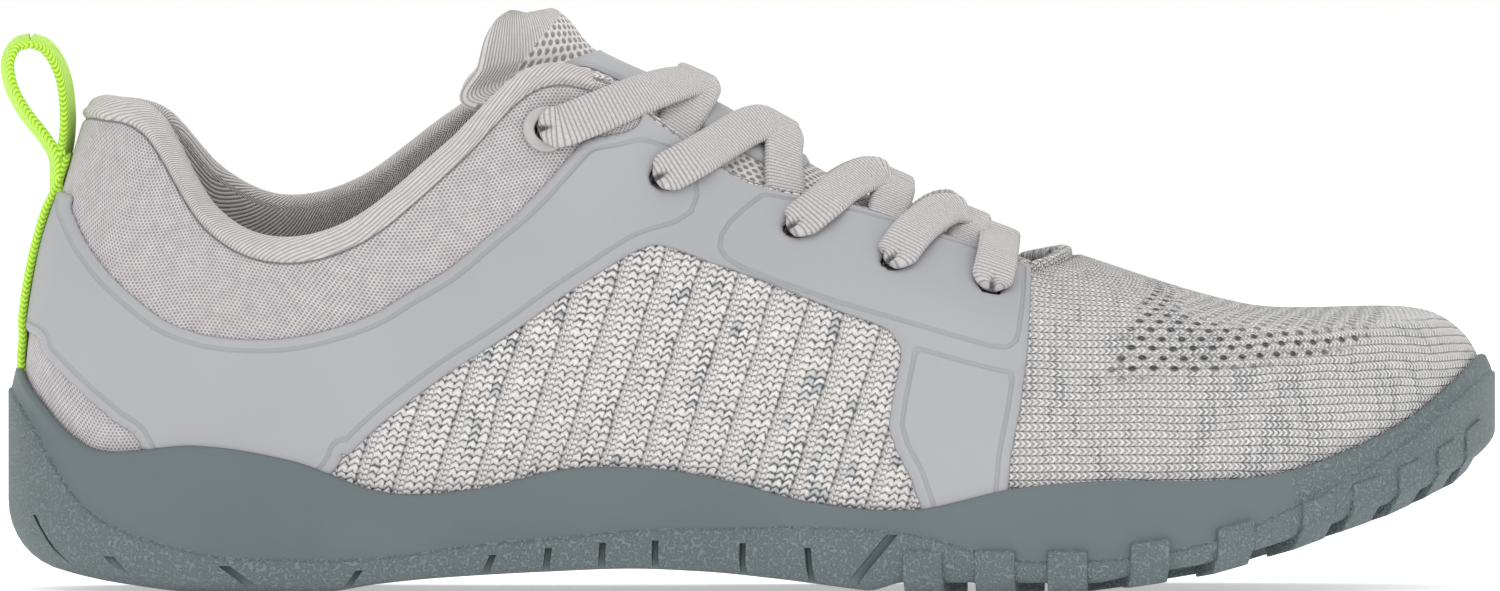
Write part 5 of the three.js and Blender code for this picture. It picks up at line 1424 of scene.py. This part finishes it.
def sweep(route, width, thickness, steps=12, rounded=(False, False)):
    """A flat band with soft edges along a route of points and ways out. A rounded end lies over
    its hole, with a cleft down its middle where its two edges fold in."""
    spots = through([spot for spot, _ in route], steps)
    outs = unit(through([out for _, out in route], steps))
    forward = unit(np.gradient(spots, axis=0))
    across = unit(np.cross(forward, outs))
    up = np.cross(across, forward)
    travel = np.concatenate([[0], np.cumsum(np.linalg.norm(np.diff(spots, axis=0), axis=1))])
    widths = np.full(len(spots), width / 2)
    tall = np.ones(len(spots))
    cleft = np.zeros(len(spots))
    for is_rounded, reach in zip(rounded, (travel, travel[-1] - travel)):
        if is_rounded:
            widths *= np.sqrt(1 - (1 - np.clip(reach / END_ROUND, 0, 1)) ** 2)
            tall *= np.sqrt(1 - (1 - np.clip(reach / END_DROP, 0, 1)) ** 2)
            cleft += 1 - smooth(reach / CLEFT_LENGTH)
    shares = np.linspace(-1, 1, BAND_POINTS)
    shares = np.sign(shares) * np.abs(shares) ** 1.4
    ends = np.concatenate([shares, shares[::-1][1:-1]])
    on_top = np.concatenate([np.ones(BAND_POINTS), np.zeros(BAND_POINTS - 2)])
    heights = (2 * on_top - 1) * np.sqrt(np.maximum(1 - np.abs(ends) ** 6, 0)) * thickness / 2
    aside = ends[None, :] * widths[:, None]
    dip = np.exp(-((aside / (0.25 + 0.45 * cleft[:, None])) ** 2)) * cleft[:, None] * on_top
    lobes = np.sin(ends * math.pi) ** 2 * 0.4 * cleft[:, None] * on_top
    heights = (heights[None, :] + lobes - dip * thickness * 0.9) * tall[:, None]
    heights -= (1 - tall[:, None]) * thickness / 2
    points = spots[:, None] + across[:, None] * aside[..., None] + up[:, None] * heights[..., None]
    cloth = np.stack(np.broadcast_arrays(travel[:, None], aside, dip), -1)
    points = np.concatenate([points, points[:, :1]], 1)
    cloth = np.concatenate([cloth, cloth[:, :1]], 1)
    columns = points.shape[1]
    return points.reshape(-1, 3), cloth.reshape(-1, 3), grid_faces(len(spots), columns)


def joined(parts):
    """Several swept bands as one mesh"""
    count = 0
    points, cloth, faces = [], [], []
    for spots, coordinates, squares in parts:
        points.append(spots)
        cloth.append(coordinates)
        faces.append(squares + count)
        count += len(spots)
    return np.concatenate(points), np.concatenate(faces), np.concatenate(cloth)


bands = [sweep(crossing(k, side), LACE_WIDTH, LACE_THICKNESS, rounded=(True, False))
         for k in range(len(CROSSINGS)) for side in (1, -1)]
for _, _, spot, normal in hole_axes():
    flat_side = unit(np.cross(normal, [0, 1.0, 0.3]))
    inward = [(spot - normal * deep, flat_side) for deep in (-0.3, 2.0, 4.5, 7.0)]
    bands.append(sweep(inward, STUB_WIDTH, LACE_THICKNESS * 2, steps=2))
bar_row, bar_down = HOLES[-1]
bar_halves = []
for side in (-1, 1):
    at = bar_row if side < 0 else ROWS - bar_row
    share = 1 - bar_down / float(rib_length(at)[0])
    half = [*hole_mouth(at, share, BAR[0], MOUTH_LIFTS[1]), *lay(BAR, side)]
    bar_halves.append([(np.array(spot, float), np.array(out, float)) for spot, out in half])
bar_top = (np.array([BAR[-1][0] + 0.2, RIDGE, BAR[-1][1] + 1.6]), np.array([0.35, 0, 0.94]))
bands.append(sweep([*bar_halves[0], bar_top, *bar_halves[1][::-1]], LACE_WIDTH, LACE_THICKNESS,
                   rounded=(True, True)))

LACE_RIB = 0.87
LACE_STRAND = 1.15
woven = Surface("woven_lace", Roughness=0.82, Sheen_Weight=0.25, Sheen_Roughness=0.4)
u, v, cleft = woven.attribute("cloth")
rib_wave = abs((u / LACE_RIB * math.pi).sine())
plait = abs(((v / LACE_STRAND + (u / LACE_RIB).floor() * 0.5) * math.pi).sine())
tone = woven.noise(woven.vector(u, v), 0.9, 2.0)
base = woven.mix(rib_wave.step(0.0, 0.75), ink(142, 139, 138), ink(192, 189, 188))
base = woven.mix((1 - plait.step(0.0, 0.45)) * 0.3, base, ink(146, 143, 142))
base = woven.mix(tone.step(0.4, 0.8) * 0.3, base, ink(204, 202, 201))
# The cleft where the lace's end folds into its hole is painted near black: painted shade
base = woven.mix(cleft.step(0.15, 0.8) * 0.8, base, ink(62, 59, 58))
lace_material = woven.finish(base, None, woven.bump(rib_wave * 0.9 + plait * 0.35, 0.00022))
lace = build("lace_bands", *joined(bands), [lace_material])
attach(lace, "root")
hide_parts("lace")

# The pull loop: a bright woven tape stitched up the back of the heel, with its loop standing
# above the collar
TAPE_WIDTH = 10
TAPE_THICKNESS = 1.8
LOOP_TWIST = 0.16  # the loop stands a little askew
TAPE_SPLIT = 0.88  # share of the heel's rib at which the loop leaves it
TWILL_PITCH = 0.95
LOOP = np.array([
    [0.0375, 0.885], [0.0395, 0.925], [0.0400, 0.970], [0.0380, 1.030], [0.0330, 1.075],
    [0.0250, 1.108], [0.0150, 1.120], [0.0050, 1.110], [-0.0005, 1.075], [0.0020, 1.025],
    [0.0105, 0.975], [0.0220, 0.930], [0.0297, 0.895], [0.0321, 0.868], [0.0322, 0.839],
    [0.0325, 0.806],
]) * [LENGTH, HEEL_HEIGHT]
heel_length = float(rib_length(0.0)[0])
heel_start = float(rim_share(np.array([0.0]))[0]) - RIM_LIP / heel_length
# How far the tape's back is off the wall, at shares of the way up: it climbs over the film's edges
TAPE_LIFTS = [(0, -0.6), (0.08, -0.1), (0.17, 0.0), (0.28, 0.6), (0.5, 0.6), (0.72, 0.6), (0.86, 0.1),
              (1, 0)]
heel_route = [over_wall(0.0, heel_start + (TAPE_SPLIT - heel_start) * part, lift + TAPE_THICKNESS / 2)
              for part, lift in TAPE_LIFTS]
forward = unit(np.gradient(LOOP, axis=0))
loop_route = [(np.array([x, 0, z]), np.array([-dz, LOOP_TWIST, dx]))
              for (x, z), (dx, dz) in zip(LOOP, forward)]
tape = Surface("bright_tape", Roughness=0.75, Sheen_Weight=0.2, Sheen_Roughness=0.4)
u, v, _ = tape.attribute("cloth")
twill = abs((((u + v * 0.9) / TWILL_PITCH) * math.pi).sine())
selvedge = abs(v).step(4.2, 4.5)
tone = tape.noise(tape.vector(u, v), 1.2, 2.0)
base = tape.mix(twill.step(0.1, 0.8), ink(166, 228, 40), ink(205, 255, 84))
base = tape.mix(tone.step(0.4, 0.8) * 0.25, base, ink(182, 244, 62))
tape_material = tape.finish(base, None, tape.bump(twill + selvedge * 0.4, 0.0003))
pull_loop = build("pull_tape", *joined([
    sweep([*heel_route, *loop_route[:7]], TAPE_WIDTH, TAPE_THICKNESS),
    sweep(loop_route[6:], TAPE_WIDTH, TAPE_THICKNESS)]), [tape_material])
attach(pull_loop, "root")
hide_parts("pull_loop")

# The studio: a plain pale floor, a bright even room and large soft lights above
floor_mesh = bpy.data.meshes.new("studio_floor")
floor_mesh.from_pydata([(-6, -6, 0), (6, -6, 0), (6, 6, 0), (-6, 6, 0)], [], [(0, 1, 2, 3)])
floor = bpy.data.objects.new("studio_floor", floor_mesh)
bpy.context.scene.collection.objects.link(floor)
paint = Surface("floor_paint", Roughness=0.9, Emission_Color=(1, 1, 1, 1), Emission_Strength=0.42)
floor_tone = paint.noise(paint.node("ShaderNodeTexCoord", {}, {}, "Object"), 3.0, 2.0)
floor_mesh.materials.append(paint.finish(paint.mix(floor_tone, ink(246, 246, 246), ink(252, 252, 252))))
world = bpy.data.worlds.new("studio")
bpy.context.scene.world = world
world.use_nodes = True
room = next(n for n in world.node_tree.nodes if n.type == "BACKGROUND")
room.inputs["Color"].default_value = (1, 1, 1, 1)
room.inputs["Strength"].default_value = 1.0
bpy.context.scene.view_settings.view_transform = "Standard"


def soft_light(name, spot, target, size, power):
    lamp = bpy.data.lights.new(name, "AREA")
    lamp.shape = "RECTANGLE"
    lamp.size, lamp.size_y = size
    lamp.energy = power
    light = bpy.data.objects.new(name, lamp)
    light.location = spot
    light.rotation_euler = (Vector(target) - Vector(spot)).to_track_quat("-Z", "Y").to_euler()
    bpy.context.scene.collection.objects.link(light)


soft_light("top_light", (0.1, -0.3, 1.3), (0, 0, 0.05), (1.2, 0.9), 3.2)
soft_light("front_light", (0.3, -1.6, 0.7), (0, 0, 0.05), (1.2, 0.8), 1.4)

ELEVATION = math.radians(0.5)
AIM = (-0.0002, 0.0, 0.0551)
DISTANCE = 3.915
camera_data = bpy.data.cameras.new("camera")
camera_data.lens = 500
camera_data.sensor_width = 36
camera_data.clip_end = 50
camera = bpy.data.objects.new("camera", camera_data)
back, up = DISTANCE * math.cos(ELEVATION), DISTANCE * math.sin(ELEVATION)
camera.location = (AIM[0], AIM[1] - back, AIM[2] + up)
camera.rotation_euler = (math.pi / 2 - ELEVATION, 0, 0)
bpy.context.scene.collection.objects.link(camera)
bpy.context.scene.camera = camera
